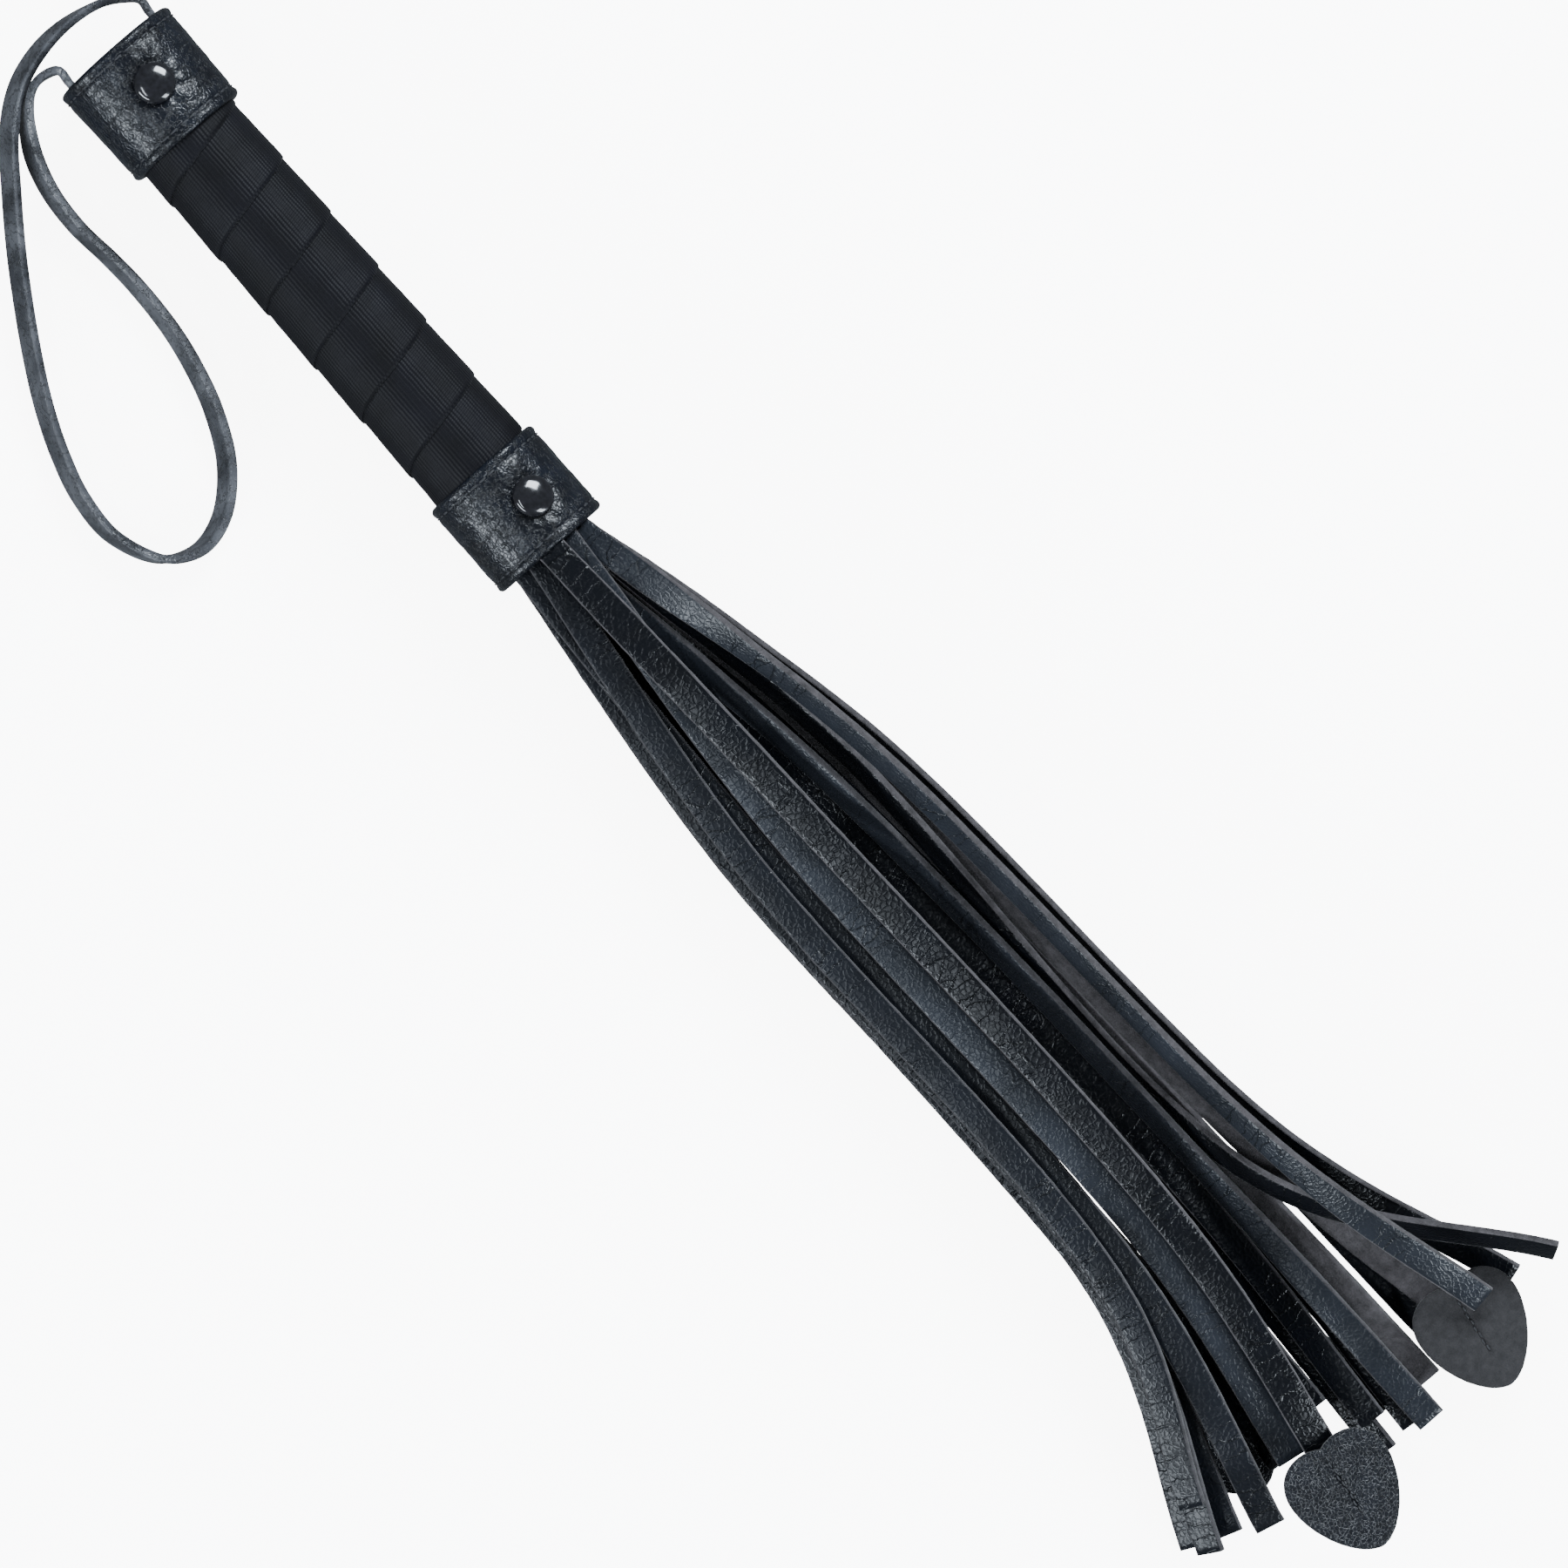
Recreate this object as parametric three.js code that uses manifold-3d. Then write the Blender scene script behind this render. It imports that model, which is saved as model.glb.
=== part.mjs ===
// A short leather flogger lying flat: a wrapped handle between two riveted cuffs, a wrist
// loop at the butt, and a bunch of flat leather tails, three of them with sewn heart tips.
// Millimetres, +X from the butt towards the tails, +Z up from the table it lies on.

import * as THREE from "three";
import { mergeVertices } from "three/addons/utils/BufferGeometryUtils.js";
import Module from "manifold-3d";

const wasm = await Module();
wasm.setup();

// Driving dimensions.
const GAP = 0.3;
const AXIS_Z = 16.4;
const HANDLE_LENGTH = 156.3;
const ROUND_STEPS = 40;

const CORE_RADIUS = 12;
const CORE_END = 138.7;
const PADDING_RADIUS = 12.9;
const PADDING_START = 8;

const TAPE_INNER = 13.1;
const TAPE_THICKNESS = 0.6;
const TAPE_PITCH = 17;
const TAPE_WIDTH = 16.6;
const TAPE_FIRST_CENTRE = 18.5;
const TAPE_LAST_CENTRE = 139.1;
const TAPE_STEPS_PER_TURN = 20;

const CUFF_INNER = 14.1;
const BUTT_CUFF_LENGTH = 27;
const BUTT_CUFF_RADIUS = 16.4;
const BUTT_CUFF_RIM_RADIUS = 15.8;
const LOWER_CUFF_START = 130.6;
const LOWER_CUFF_RADIUS = 15.6;
const CUFF_EDGE_ROUND = 0.5;

const DISC_THICKNESS = 1.8;
const ROLL_RADIUS = 13.7;
const ROLL_END = 149.6;

const RIVET_RADIUS = 5;
const RIVET_HEIGHT = 2.2;
const RIVET_POST_RADIUS = 1.5;
const RIVET_POST_FOOT = 6;
const RIVET_HOLE_CLEARANCE = 0.4;
const RIVET_EDGE = 0.4;
const RIVET_SIDES = 28;
const RIVET_HOLE_TOP = 30;
const RIVET_HOLE_SIDES = 20;
const TRIM_SIZE = 40;
const BUTT_RIVET = { x: 12.8, tiltDegrees: 9, surface: BUTT_CUFF_RADIUS - 0.1 };
const LOWER_RIVET = { x: 143.9, tiltDegrees: 19, surface: LOWER_CUFF_RADIUS };

const STRAP_WIDTH = 7.5;
const STRAP_THICKNESS = 2;
const STRAP_SEGMENTS = 64;
const STRAP_SLOT_Y = 12.4;

// The strap's two ends are skived thin and clamped between the core and the butt cuff.
const STRAP_END_LENGTH = 5;
const STRAP_END_THICKNESS = 0.9;
const STRAP_END_WIDTH = 6;
const STRAP_END_X = 5.2;
const STRAP_END_Y = 13.1;

// The wrist strap's middle line, from one end at the butt round to the other.
const STRAP_ROUTE = [
  [-5.2, 12.9, 16.4], [-7.6, 10.6, 16.4], [-10.2, 6.2, 16.4], [-12.3, -3.6, 16.4], [-11.8, -12.9, 16.2],
  [-8.8, -22.2, 14.4], [-1.9, -31.4, 11.6], [8, -39.6, 9], [20.7, -49.2, 6.6], [38.4, -60.7, 4.8],
  [51.4, -67.9, 4.2], [62.8, -72.7, 4], [73.2, -75.6, 4], [85.2, -76, 4], [97, -70.6, 4],
  [100.9, -62.6, 4], [98.8, -53.9, 4], [90.6, -44.8, 4], [78.6, -38.4, 4], [66.8, -34.9, 4],
  [56.7, -33.2, 4], [44.5, -32.6, 4], [35.3, -33, 4.1], [24.5, -33.9, 5], [13.9, -33, 7],
  [4.4, -29.8, 10], [-3.2, -24.2, 13.4], [-6.6, -18.2, 15.9], [-5.2, -12.6, 16.4],
];

const TAIL_THICKNESS = 1.6;
const TAIL_GAP = 0.65;
const TAIL_SEGMENTS = 38;
const TAIL_ROOT_X = HANDLE_LENGTH + GAP;
const TAIL_SLOT_PITCH = 7.9;
const TAIL_NEAR_X = TAIL_ROOT_X + 80;
const TAIL_FAR_X = 378;
const TABLE_CLEARANCE = 0.2;
const SETTLE_LENGTH = 45;
const ROLL_LENGTH = 60;
const ROLL_TIP_START = 0.7;
const ROOT_NARROWING = 0.08;
const ROOT_NARROWING_LENGTH = 25;
const SMOOTHING = 14;

const HEART_THICKNESS = 1.6;
const HEART_HALF_WIDTH = 13.4;
const HEART_WIDEST = 0.3;

function tail(name, width, near, far, tip, roll, heart = null) {
  return { name, width, near, far, tip, roll, heart };
}

function heart(name, from, to) {
  return { name, from, to };
}

// The tails from the bottom of the pile to the top, in the rows in which they leave the cuff:
// name, width, how far sideways each lies a third and two thirds along, its tip, and how many
// degrees it is rolled about its own length in the middle and at the tip.
const TAIL_ROWS = [
  [tail("tail_01", 6.8, 4, 9, [441.7, 12.5], [8, 20])],
  [
    tail("tail_02", 6.8, -11.5, -12.5, [433.5, -17.8], [10, 25]),
    tail("tail_03", 6.8, 22, 34, [441.1, 41], [14, 28]),
  ],
  [
    tail("tail_04", 6.8, -17, -19, [435, -42.5], [10, 30]),
    tail("tail_05", 6.8, -8, -11, [421, -20.3], [8, 0], heart("heart_tip_1", [408, -20.5], [435, -20])),
    tail("tail_06", 6.8, 27, 38, [437, 57], [56, 22]),
  ],
  [
    tail("tail_07", 6.8, -16, -18, [409, -25.5], [10, 20]),
    tail("tail_08", 6.8, 15.5, 19.5, [447.1, 16.5], [8, 20]),
    tail("tail_09", 6.8, 23.5, 31.5, [438.8, 34], [52, 32]),
  ],
  [
    tail("tail_10", 6.8, -14.5, -16, [438.4, -34.2], [10, 20]),
    tail("tail_11", 6.8, 4, 9.5, [449.1, 6.7], [10, 30]),
    tail("tail_12", 6.8, 18.5, 24.5, [443, 26], [54, 25]),
  ],
  [
    tail("tail_13", 6.8, -12, -9.5, [433.7, -13.5], [10, 20]),
    tail("tail_14", 6.8, 1, 2.5, [430, 1], [10, 15]),
    tail("tail_15", 6.8, 22, 31, [441, 42], [48, 0], heart("heart_tip_2", [428, 44], [455, 39.6])),
  ],
  [
    tail("tail_16", 7, -16.5, -17, [437.5, -40], [10, 34]),
    tail("tail_17", 6.8, 8.5, 13, [440, 9.5], [14, 16]),
    tail("tail_18", 6.8, 20, 27, [437.5, 68.5], [56, 56]),
  ],
  [
    tail("tail_19", 7.2, -10.5, -11, [443.6, -25.6], [10, 10]),
    tail("tail_20", 7.2, 12.5, 19, [450, 20], [52, 8]),
    tail("tail_21", 7, 24.5, 34.5, [435, 48], [57, 14]),
  ],
  [
    tail("tail_22", 6.8, -14, -16.5, [427, -36.5], [8, 28]),
    tail("tail_23", 7.4, -3, -2.5, [434.5, -11], [10, 4]),
  ],
  [
    tail("tail_24", 7.8, 2.8, 4.5, [449, -6.3], [14, 0], heart("heart_tip_3", [435.4, -4.4], [462.4, -8.2])),
  ],
];

const object = new THREE.Group();

function material(color, roughness, metalness = 0) {
  return new THREE.MeshStandardMaterial({ color, roughness, metalness });
}

const blackLeather = () => material(0x15171c, 0.45);
const handleTape = () => material(0x101114, 0.6);
const glossRivet = () => material(0x0a0a0c, 0.15, 0.4);
const woodCore = () => material(0x8a6a45, 0.7);
const foamPadding = () => material(0x222222, 0.9);

function addNode(name, geometry, surface) {
  const mesh = new THREE.Mesh(geometry, surface);
  mesh.name = name;
  object.add(mesh);
  return mesh;
}

// A closed mesh as a manifold-3d solid, and back.
function toSolid(geometry) {
  const bare = geometry.clone();
  bare.deleteAttribute("normal");
  bare.deleteAttribute("uv");
  const merged = mergeVertices(bare, 1e-4);
  return new wasm.Manifold(new wasm.Mesh({
    numProp: 3,
    vertProperties: new Float32Array(merged.attributes.position.array),
    triVerts: new Uint32Array(merged.index.array),
  }));
}

function toGeometry(solid) {
  const mesh = solid.getMesh();
  const geometry = new THREE.BufferGeometry();
  geometry.setAttribute("position", new THREE.BufferAttribute(mesh.vertProperties, 3));
  geometry.setIndex(new THREE.BufferAttribute(mesh.triVerts, 1));
  return geometry;
}

function cut(geometry, ...tools) {
  return toGeometry(tools.reduce((solid, tool) => solid.subtract(toSolid(tool)), toSolid(geometry)));
}

// A solid of revolution about the handle's axis; the profile is [x, radius] pairs.
function turned(profile) {
  const points = profile.map(([x, radius]) => new THREE.Vector2(radius, x));
  const geometry = new THREE.LatheGeometry(points, ROUND_STEPS);
  geometry.rotateZ(-Math.PI / 2);
  geometry.translate(0, 0, AXIS_Z);
  return geometry;
}

function sleeve(start, end, inner, outer) {
  return turned([[start, inner], [start, outer], [end, outer], [end, inner], [start, inner]]);
}

function rod(start, end, radius) {
  return turned([[start, 0], [start, radius], [end, radius], [end, 0]]);
}

// A flat strip through stations, each with a middle point, a direction across the strip and
// a direction through its thickness, and where it isn't full width, its share of the width.
// The strip is closed at both ends.
function strip(stations, width, thickness) {
  const corners = [[-1, -1], [1, -1], [1, 1], [-1, 1]];
  const positions = [];
  for (const { point, across, through, narrowing = 1 } of stations) {
    for (const [side, face] of corners) {
      const corner = point.clone();
      corner.addScaledVector(across, side * narrowing * width / 2);
      corner.addScaledVector(through, face * thickness / 2);
      positions.push(corner.x, corner.y, corner.z);
    }
  }
  const index = [0, 2, 1, 0, 3, 2];
  for (let station = 0; station < stations.length - 1; station++) {
    for (let corner = 0; corner < 4; corner++) {
      const a = station * 4 + corner;
      const b = station * 4 + (corner + 1) % 4;
      index.push(a, b, b + 4, a, b + 4, a + 4);
    }
  }
  const last = (stations.length - 1) * 4;
  index.push(last, last + 1, last + 2, last, last + 2, last + 3);
  const geometry = new THREE.BufferGeometry();
  geometry.setAttribute("position", new THREE.Float32BufferAttribute(positions, 3));
  geometry.setIndex(index);
  return geometry;
}

// Handle: a wooden core, a foam layer, and tape wound over it in a helix.
function tapeHelix() {
  const turns = (TAPE_LAST_CENTRE - TAPE_FIRST_CENTRE) / TAPE_PITCH;
  const count = Math.round(turns * TAPE_STEPS_PER_TURN);
  const radius = TAPE_INNER + TAPE_THICKNESS / 2;
  const stations = [];
  for (let step = 0; step <= count; step++) {
    const angle = 2 * Math.PI * step / TAPE_STEPS_PER_TURN;
    const radial = new THREE.Vector3(0, Math.cos(angle), Math.sin(angle));
    const point = radial.clone().multiplyScalar(radius);
    point.x = TAPE_FIRST_CENTRE + TAPE_PITCH * angle / (2 * Math.PI);
    point.z += AXIS_Z;
    stations.push({ point, across: new THREE.Vector3(1, 0, 0), through: radial });
  }
  return strip(stations, TAPE_WIDTH, TAPE_THICKNESS);
}

// The tape is cut off square inside the lower cuff, at the end of the core.
function tapeTrim() {
  const geometry = new THREE.BoxGeometry(TRIM_SIZE, TRIM_SIZE, TRIM_SIZE);
  geometry.translate(CORE_END + TRIM_SIZE / 2, 0, AXIS_Z);
  return geometry;
}

// Rivets stand on the cuffs, turned about the handle's axis.
function onHandle(geometry, rivet) {
  geometry.rotateX(-THREE.MathUtils.degToRad(rivet.tiltDegrees));
  geometry.translate(rivet.x, 0, AXIS_Z);
  return geometry;
}

function rivetShape(rivet) {
  const base = rivet.surface + GAP;
  const points = [
    new THREE.Vector2(0, RIVET_POST_FOOT),
    new THREE.Vector2(RIVET_POST_RADIUS, RIVET_POST_FOOT),
    new THREE.Vector2(RIVET_POST_RADIUS, base),
    new THREE.Vector2(RIVET_RADIUS, base),
  ];
  const arcSteps = 7;
  for (let step = 1; step <= arcSteps; step++) {
    const angle = Math.PI / 2 * step / arcSteps;
    const radius = step === arcSteps ? 0 : RIVET_RADIUS * Math.cos(angle);
    points.push(new THREE.Vector2(radius, base + RIVET_EDGE + (RIVET_HEIGHT - RIVET_EDGE) * Math.sin(angle)));
  }
  const geometry = new THREE.LatheGeometry(points, RIVET_SIDES);
  geometry.rotateX(Math.PI / 2);
  return onHandle(geometry, rivet);
}

function rivetHole(rivet) {
  const bottom = RIVET_POST_FOOT - RIVET_HOLE_CLEARANCE;
  const length = RIVET_HOLE_TOP - bottom;
  const radius = RIVET_POST_RADIUS + RIVET_HOLE_CLEARANCE;
  const geometry = new THREE.CylinderGeometry(radius, radius, length, RIVET_HOLE_SIDES);
  geometry.rotateX(Math.PI / 2);
  geometry.translate(0, 0, bottom + length / 2);
  return onHandle(geometry, rivet);
}

function cuff(start, end, startRadius, endRadius) {
  const r = CUFF_EDGE_ROUND;
  return turned([
    [start, CUFF_INNER], [start, startRadius - r], [start + r, startRadius],
    [end - r, endRadius], [end, endRadius - r], [end, CUFF_INNER], [start, CUFF_INNER],
  ]);
}

function strapSlot(y) {
  const geometry = new THREE.BoxGeometry(6, STRAP_THICKNESS + 0.8, STRAP_WIDTH + 1);
  geometry.translate(DISC_THICKNESS / 2, y, AXIS_Z);
  return geometry;
}

function strapEnd(side) {
  const geometry = new THREE.BoxGeometry(STRAP_END_LENGTH, STRAP_END_THICKNESS, STRAP_END_WIDTH);
  geometry.translate(STRAP_END_X, side * STRAP_END_Y, AXIS_Z);
  return geometry;
}

addNode(
  "handle_core",
  cut(rod(GAP + DISC_THICKNESS + GAP, CORE_END, CORE_RADIUS), rivetHole(BUTT_RIVET)),
  woodCore(),
);
addNode(
  "grip_padding",
  cut(sleeve(PADDING_START, CORE_END, CORE_RADIUS + GAP, PADDING_RADIUS), rivetHole(BUTT_RIVET)),
  foamPadding(),
);
addNode("grip_wrap", cut(tapeHelix(), rivetHole(BUTT_RIVET), tapeTrim()), handleTape());
addNode(
  "butt_cuff",
  cut(cuff(0, BUTT_CUFF_LENGTH, BUTT_CUFF_RADIUS, BUTT_CUFF_RIM_RADIUS), rivetHole(BUTT_RIVET)),
  blackLeather(),
);
addNode(
  "lower_cuff",
  cut(cuff(LOWER_CUFF_START, HANDLE_LENGTH, LOWER_CUFF_RADIUS, LOWER_CUFF_RADIUS), rivetHole(LOWER_RIVET)),
  blackLeather(),
);
addNode(
  "butt_disc",
  cut(rod(GAP, GAP + DISC_THICKNESS, CUFF_INNER - GAP), strapSlot(STRAP_SLOT_Y), strapSlot(-STRAP_SLOT_Y)),
  blackLeather(),
);
addNode(
  "tail_root_roll",
  cut(rod(CORE_END + GAP, ROLL_END, ROLL_RADIUS), rivetHole(LOWER_RIVET)),
  blackLeather(),
);
addNode("butt_rivet", rivetShape(BUTT_RIVET), glossRivet());
addNode("lower_rivet", rivetShape(LOWER_RIVET), glossRivet());
addNode("strap_end_upper", strapEnd(1), blackLeather());
addNode("strap_end_lower", strapEnd(-1), blackLeather());

// Wrist loop: a flat strap standing on its edge.
function wristLoop() {
  const corners = STRAP_ROUTE.map((p) => new THREE.Vector3(...p));
  const curve = new THREE.CatmullRomCurve3(corners, false, "centripetal");
  const across = new THREE.Vector3(0, 0, 1);
  const stations = [];
  for (let step = 0; step <= STRAP_SEGMENTS; step++) {
    const t = step / STRAP_SEGMENTS;
    const through = new THREE.Vector3().crossVectors(curve.getTangentAt(t), across).normalize();
    stations.push({ point: curve.getPointAt(t), across, through });
  }
  return strip(stations, STRAP_WIDTH, STRAP_THICKNESS);
}

addNode("wrist_loop", wristLoop(), blackLeather());

// Tails: each is laid on those already placed, from the bottom of the pile to the top. The
// pile is a map of the height reached so far, in narrow cells over the table.
const CELL_Y = 0.2;
const pile = new Map();

function cellsUnder(x, y) {
  const row = Math.round(y / CELL_Y);
  const column = Math.floor(x);
  return [`${column},${row}`, `${column + 1},${row}`];
}

function smoothStep(t) {
  const held = THREE.MathUtils.clamp(t, 0, 1);
  return held * held * (3 - 2 * held);
}

// The places across a strip's footprint: how far each is along the strip's width, and its cells.
function* footprint({ x, y, acrossX, acrossY, roll, halfWidth }) {
  const reach = halfWidth + TAIL_THICKNESS / 2 * Math.abs(Math.tan(roll));
  const steps = Math.ceil(2 * reach / CELL_Y);
  for (let step = 0; step <= steps; step++) {
    const u = reach * (2 * step / steps - 1);
    const flat = u * Math.cos(roll);
    yield { rise: u * Math.sin(roll), cells: cellsUnder(x + acrossX * flat, y + acrossY * flat) };
  }
}

function heightNeeded(place) {
  const upright = TAIL_THICKNESS / 2 / Math.cos(place.roll);
  let height = 0;
  for (const { rise, cells } of footprint(place)) {
    let top = TABLE_CLEARANCE;
    for (const cell of cells) {
      if (pile.has(cell)) top = Math.max(top, pile.get(cell) + TAIL_GAP);
    }
    height = Math.max(height, top + upright - rise);
  }
  return height;
}

function addToPile(place, height) {
  const upright = TAIL_THICKNESS / 2 / Math.cos(place.roll);
  for (const { rise, cells } of footprint(place)) {
    for (const cell of cells) {
      pile.set(cell, Math.max(pile.get(cell) ?? 0, height + rise + upright));
    }
  }
}

// Heights along a line of places, never below what each needs and free of steps. The line
// keeps its own height where it starts.
function smoothHeights(need) {
  const near = (list, at, reach) => list.slice(Math.max(0, at - reach), at + reach + 1);
  const envelope = need.map((_, at) => Math.max(...near(need, at, Math.min(SMOOTHING, at))));
  return envelope.map((_, at) => {
    const around = near(envelope, at, Math.floor(Math.min(SMOOTHING, at) / 2));
    return around.reduce((sum, value) => sum + value, 0) / around.length;
  });
}

const STACK_CENTRE = TABLE_CLEARANCE + TAIL_THICKNESS / 2
  + (TAIL_ROWS.length - 1) / 2 * (TAIL_THICKNESS + TAIL_GAP);
const MOUTH_LIFT = AXIS_Z - STACK_CENTRE;

// The whole pile rises from the table to the middle of the cuff's mouth.
function mouthRise(x) {
  return MOUTH_LIFT * (1 - smoothStep((x - TAIL_ROOT_X) / SETTLE_LENGTH));
}

function narrowingAt(distance) {
  return 1 - ROOT_NARROWING * (1 - smoothStep(distance / ROOT_NARROWING_LENGTH));
}

function tailPlaces({ near, far, tip, roll, width }, slotY) {
  const corners = [[TAIL_ROOT_X, slotY], [TAIL_NEAR_X, near], [TAIL_FAR_X, far], tip];
  const points = corners.map(([x, y]) => new THREE.Vector3(x, y, 0));
  const curve = new THREE.CatmullRomCurve3(points, false, "centripetal");
  const count = Math.round(curve.getLength());
  const places = [];
  for (let at = 0; at <= count; at++) {
    const point = curve.getPointAt(at / count);
    const along = curve.getTangentAt(at / count);
    const middleRoll = roll[0] * smoothStep(at / ROLL_LENGTH);
    const tipShare = smoothStep((at / count - ROLL_TIP_START) / (1 - ROLL_TIP_START));
    places.push({
      x: point.x,
      y: point.y,
      acrossX: -along.y,
      acrossY: along.x,
      roll: THREE.MathUtils.degToRad(middleRoll + (roll[1] - middleRoll) * tipShare),
      halfWidth: width / 2 * narrowingAt(at),
    });
  }
  return places;
}

function placeTail(one, slotY) {
  const places = tailPlaces(one, slotY);
  const heights = smoothHeights(places.map(heightNeeded));
  places.forEach((place, at) => addToPile(place, heights[at]));
  const chosen = [];
  for (let station = 0; station <= TAIL_SEGMENTS; station++) {
    chosen.push(Math.round(station * (places.length - 1) / TAIL_SEGMENTS));
  }
  const points = chosen.map((at) => new THREE.Vector3(
    places[at].x, places[at].y, heights[at] + mouthRise(places[at].x)));
  const stations = points.map((point, station) => {
    const { acrossX, acrossY, roll } = places[chosen[station]];
    const before = points[Math.max(0, station - 1)];
    const after = points[Math.min(TAIL_SEGMENTS, station + 1)];
    const along = station === 0 ? new THREE.Vector3(1, 0, 0) : after.clone().sub(before).normalize();
    const level = station === 0 ? new THREE.Vector3(0, 1, 0) : new THREE.Vector3(acrossX, acrossY, 0);
    const across = level.applyAxisAngle(along, roll);
    const through = new THREE.Vector3().crossVectors(along, across).normalize();
    return { point, across, through, narrowing: narrowingAt(chosen[station]) };
  });
  addNode(one.name, strip(stations, one.width, TAIL_THICKNESS), blackLeather());
}

// A heart with its notch at the origin, pointing along +X.
function heartShape(length) {
  const half = HEART_HALF_WIDTH;
  const widest = length * HEART_WIDEST;
  const shape = new THREE.Shape();
  shape.moveTo(0, 0);
  shape.bezierCurveTo(-length * 0.11, half * 0.4, -length * 0.02, half * 1.02, widest, half);
  shape.bezierCurveTo(length * 0.62, half * 0.98, length * 0.99, half * 0.42, length, 0);
  shape.bezierCurveTo(length * 0.99, -half * 0.42, length * 0.62, -half * 0.98, widest, -half);
  shape.bezierCurveTo(-length * 0.02, -half * 1.02, -length * 0.11, -half * 0.4, 0, 0);
  return shape;
}

// Each heart lies flat on the end of its tail, where it is sewn down.
function placeHeart({ name, from, to }) {
  const length = Math.hypot(to[0] - from[0], to[1] - from[1]);
  const acrossX = (from[1] - to[1]) / length;
  const acrossY = (to[0] - from[0]) / length;
  const places = [];
  for (let at = -2; at <= length; at++) {
    const past = Math.max(0, (at / length - HEART_WIDEST) / (1 - HEART_WIDEST));
    places.push({
      x: from[0] + acrossY * at,
      y: from[1] - acrossX * at,
      acrossX,
      acrossY,
      roll: 0,
      halfWidth: HEART_HALF_WIDTH * Math.sqrt(1 - past * past) + 0.5,
    });
  }
  const height = Math.max(...places.map(heightNeeded));
  places.forEach((place) => addToPile(place, height));
  const geometry = new THREE.ExtrudeGeometry(heartShape(length), {
    depth: HEART_THICKNESS, bevelEnabled: false, curveSegments: 8 });
  geometry.translate(0, 0, -HEART_THICKNESS / 2);
  geometry.rotateZ(Math.atan2(to[1] - from[1], to[0] - from[0]));
  geometry.translate(from[0], from[1], height);
  addNode(name, geometry, blackLeather());
}

for (const row of TAIL_ROWS) {
  row.forEach((one, place) => {
    placeTail(one, (place - (row.length - 1) / 2) * TAIL_SLOT_PITCH);
    if (one.heart) placeHeart(one.heart);
  });
}

// The origin is under the middle of the object as it lies on the table, the loose wrist loop
// left out of the measure.
const loop = object.getObjectByName("wrist_loop");
const extent = new THREE.Box3();
for (const mesh of object.children) {
  if (mesh !== loop) extent.expandByObject(mesh, true);
}
const middle = extent.getCenter(new THREE.Vector3());
object.position.set(-middle.x, -middle.y, -extent.min.z);

export default object;
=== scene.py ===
# The looks of a short leather flogger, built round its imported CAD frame.
# Design coordinates below are millimetres from the butt on the handle's axis line over the
# table: +X towards the tails, +Z up. place() takes them into the frame, in metres.
import math

import bmesh
import bpy
from mathutils import Matrix, Vector, noise
import numpy as np


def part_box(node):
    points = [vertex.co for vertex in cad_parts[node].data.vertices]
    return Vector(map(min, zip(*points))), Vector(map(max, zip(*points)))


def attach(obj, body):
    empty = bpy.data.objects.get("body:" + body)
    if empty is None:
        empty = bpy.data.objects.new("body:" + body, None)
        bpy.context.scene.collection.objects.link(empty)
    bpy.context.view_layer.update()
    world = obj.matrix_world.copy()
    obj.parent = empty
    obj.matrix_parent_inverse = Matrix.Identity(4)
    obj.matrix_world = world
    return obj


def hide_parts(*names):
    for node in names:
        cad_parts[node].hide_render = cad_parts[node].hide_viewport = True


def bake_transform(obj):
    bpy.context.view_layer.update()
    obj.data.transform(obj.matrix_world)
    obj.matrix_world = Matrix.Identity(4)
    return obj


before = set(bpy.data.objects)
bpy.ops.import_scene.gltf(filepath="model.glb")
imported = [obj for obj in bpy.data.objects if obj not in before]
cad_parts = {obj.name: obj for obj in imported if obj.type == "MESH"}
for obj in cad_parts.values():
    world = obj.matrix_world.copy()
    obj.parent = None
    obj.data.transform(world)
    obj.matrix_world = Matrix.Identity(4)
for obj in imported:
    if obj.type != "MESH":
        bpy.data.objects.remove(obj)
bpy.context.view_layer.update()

MM = 0.001
AXIS_Z = 16.4
cuff_low, cuff_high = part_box("butt_cuff")
ORIGIN = Vector((cuff_low[0], (cuff_low[1] + cuff_high[1]) / 2, 0.0))


def place(point):
    return ORIGIN + Vector(point) * MM


# ---------------------------------------------------------------- camera and light

VIEW_TILT = math.radians(1.5)
HANDLE_HEADING = math.radians(48.6)
VIEW_CENTRE = (234.2, 4.5, 8)
VIEW_DISTANCE = 2.6
VIEW_WIDTH = 0.3715


def make_camera():
    data = bpy.data.cameras.new("camera")
    camera = bpy.data.objects.new("camera", data)
    bpy.context.collection.objects.link(camera)
    turn = Matrix.Rotation(HANDLE_HEADING, 4, "Z")
    tilt = Matrix.Rotation(-VIEW_TILT, 4, "Y")
    aim = Matrix.Translation(place(VIEW_CENTRE))
    camera.matrix_world = aim @ tilt @ turn @ Matrix.Translation((0, 0, VIEW_DISTANCE))
    data.sensor_width = 36
    data.lens = data.sensor_width * VIEW_DISTANCE / VIEW_WIDTH
    data.clip_end = 10
    bpy.context.scene.camera = camera


COOL = (0.84, 0.92, 1)


def area_light(name, centre, aim, size, power):
    data = bpy.data.lights.new(name, "AREA")
    data.shape = "RECTANGLE"
    data.size, data.size_y = size
    data.energy = power
    data.color = COOL
    light = bpy.data.objects.new(name, data)
    bpy.context.collection.objects.link(light)
    light.location = centre
    direction = Vector(aim) - Vector(centre)
    light.rotation_euler = direction.to_track_quat("-Z", "Y").to_euler()


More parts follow.
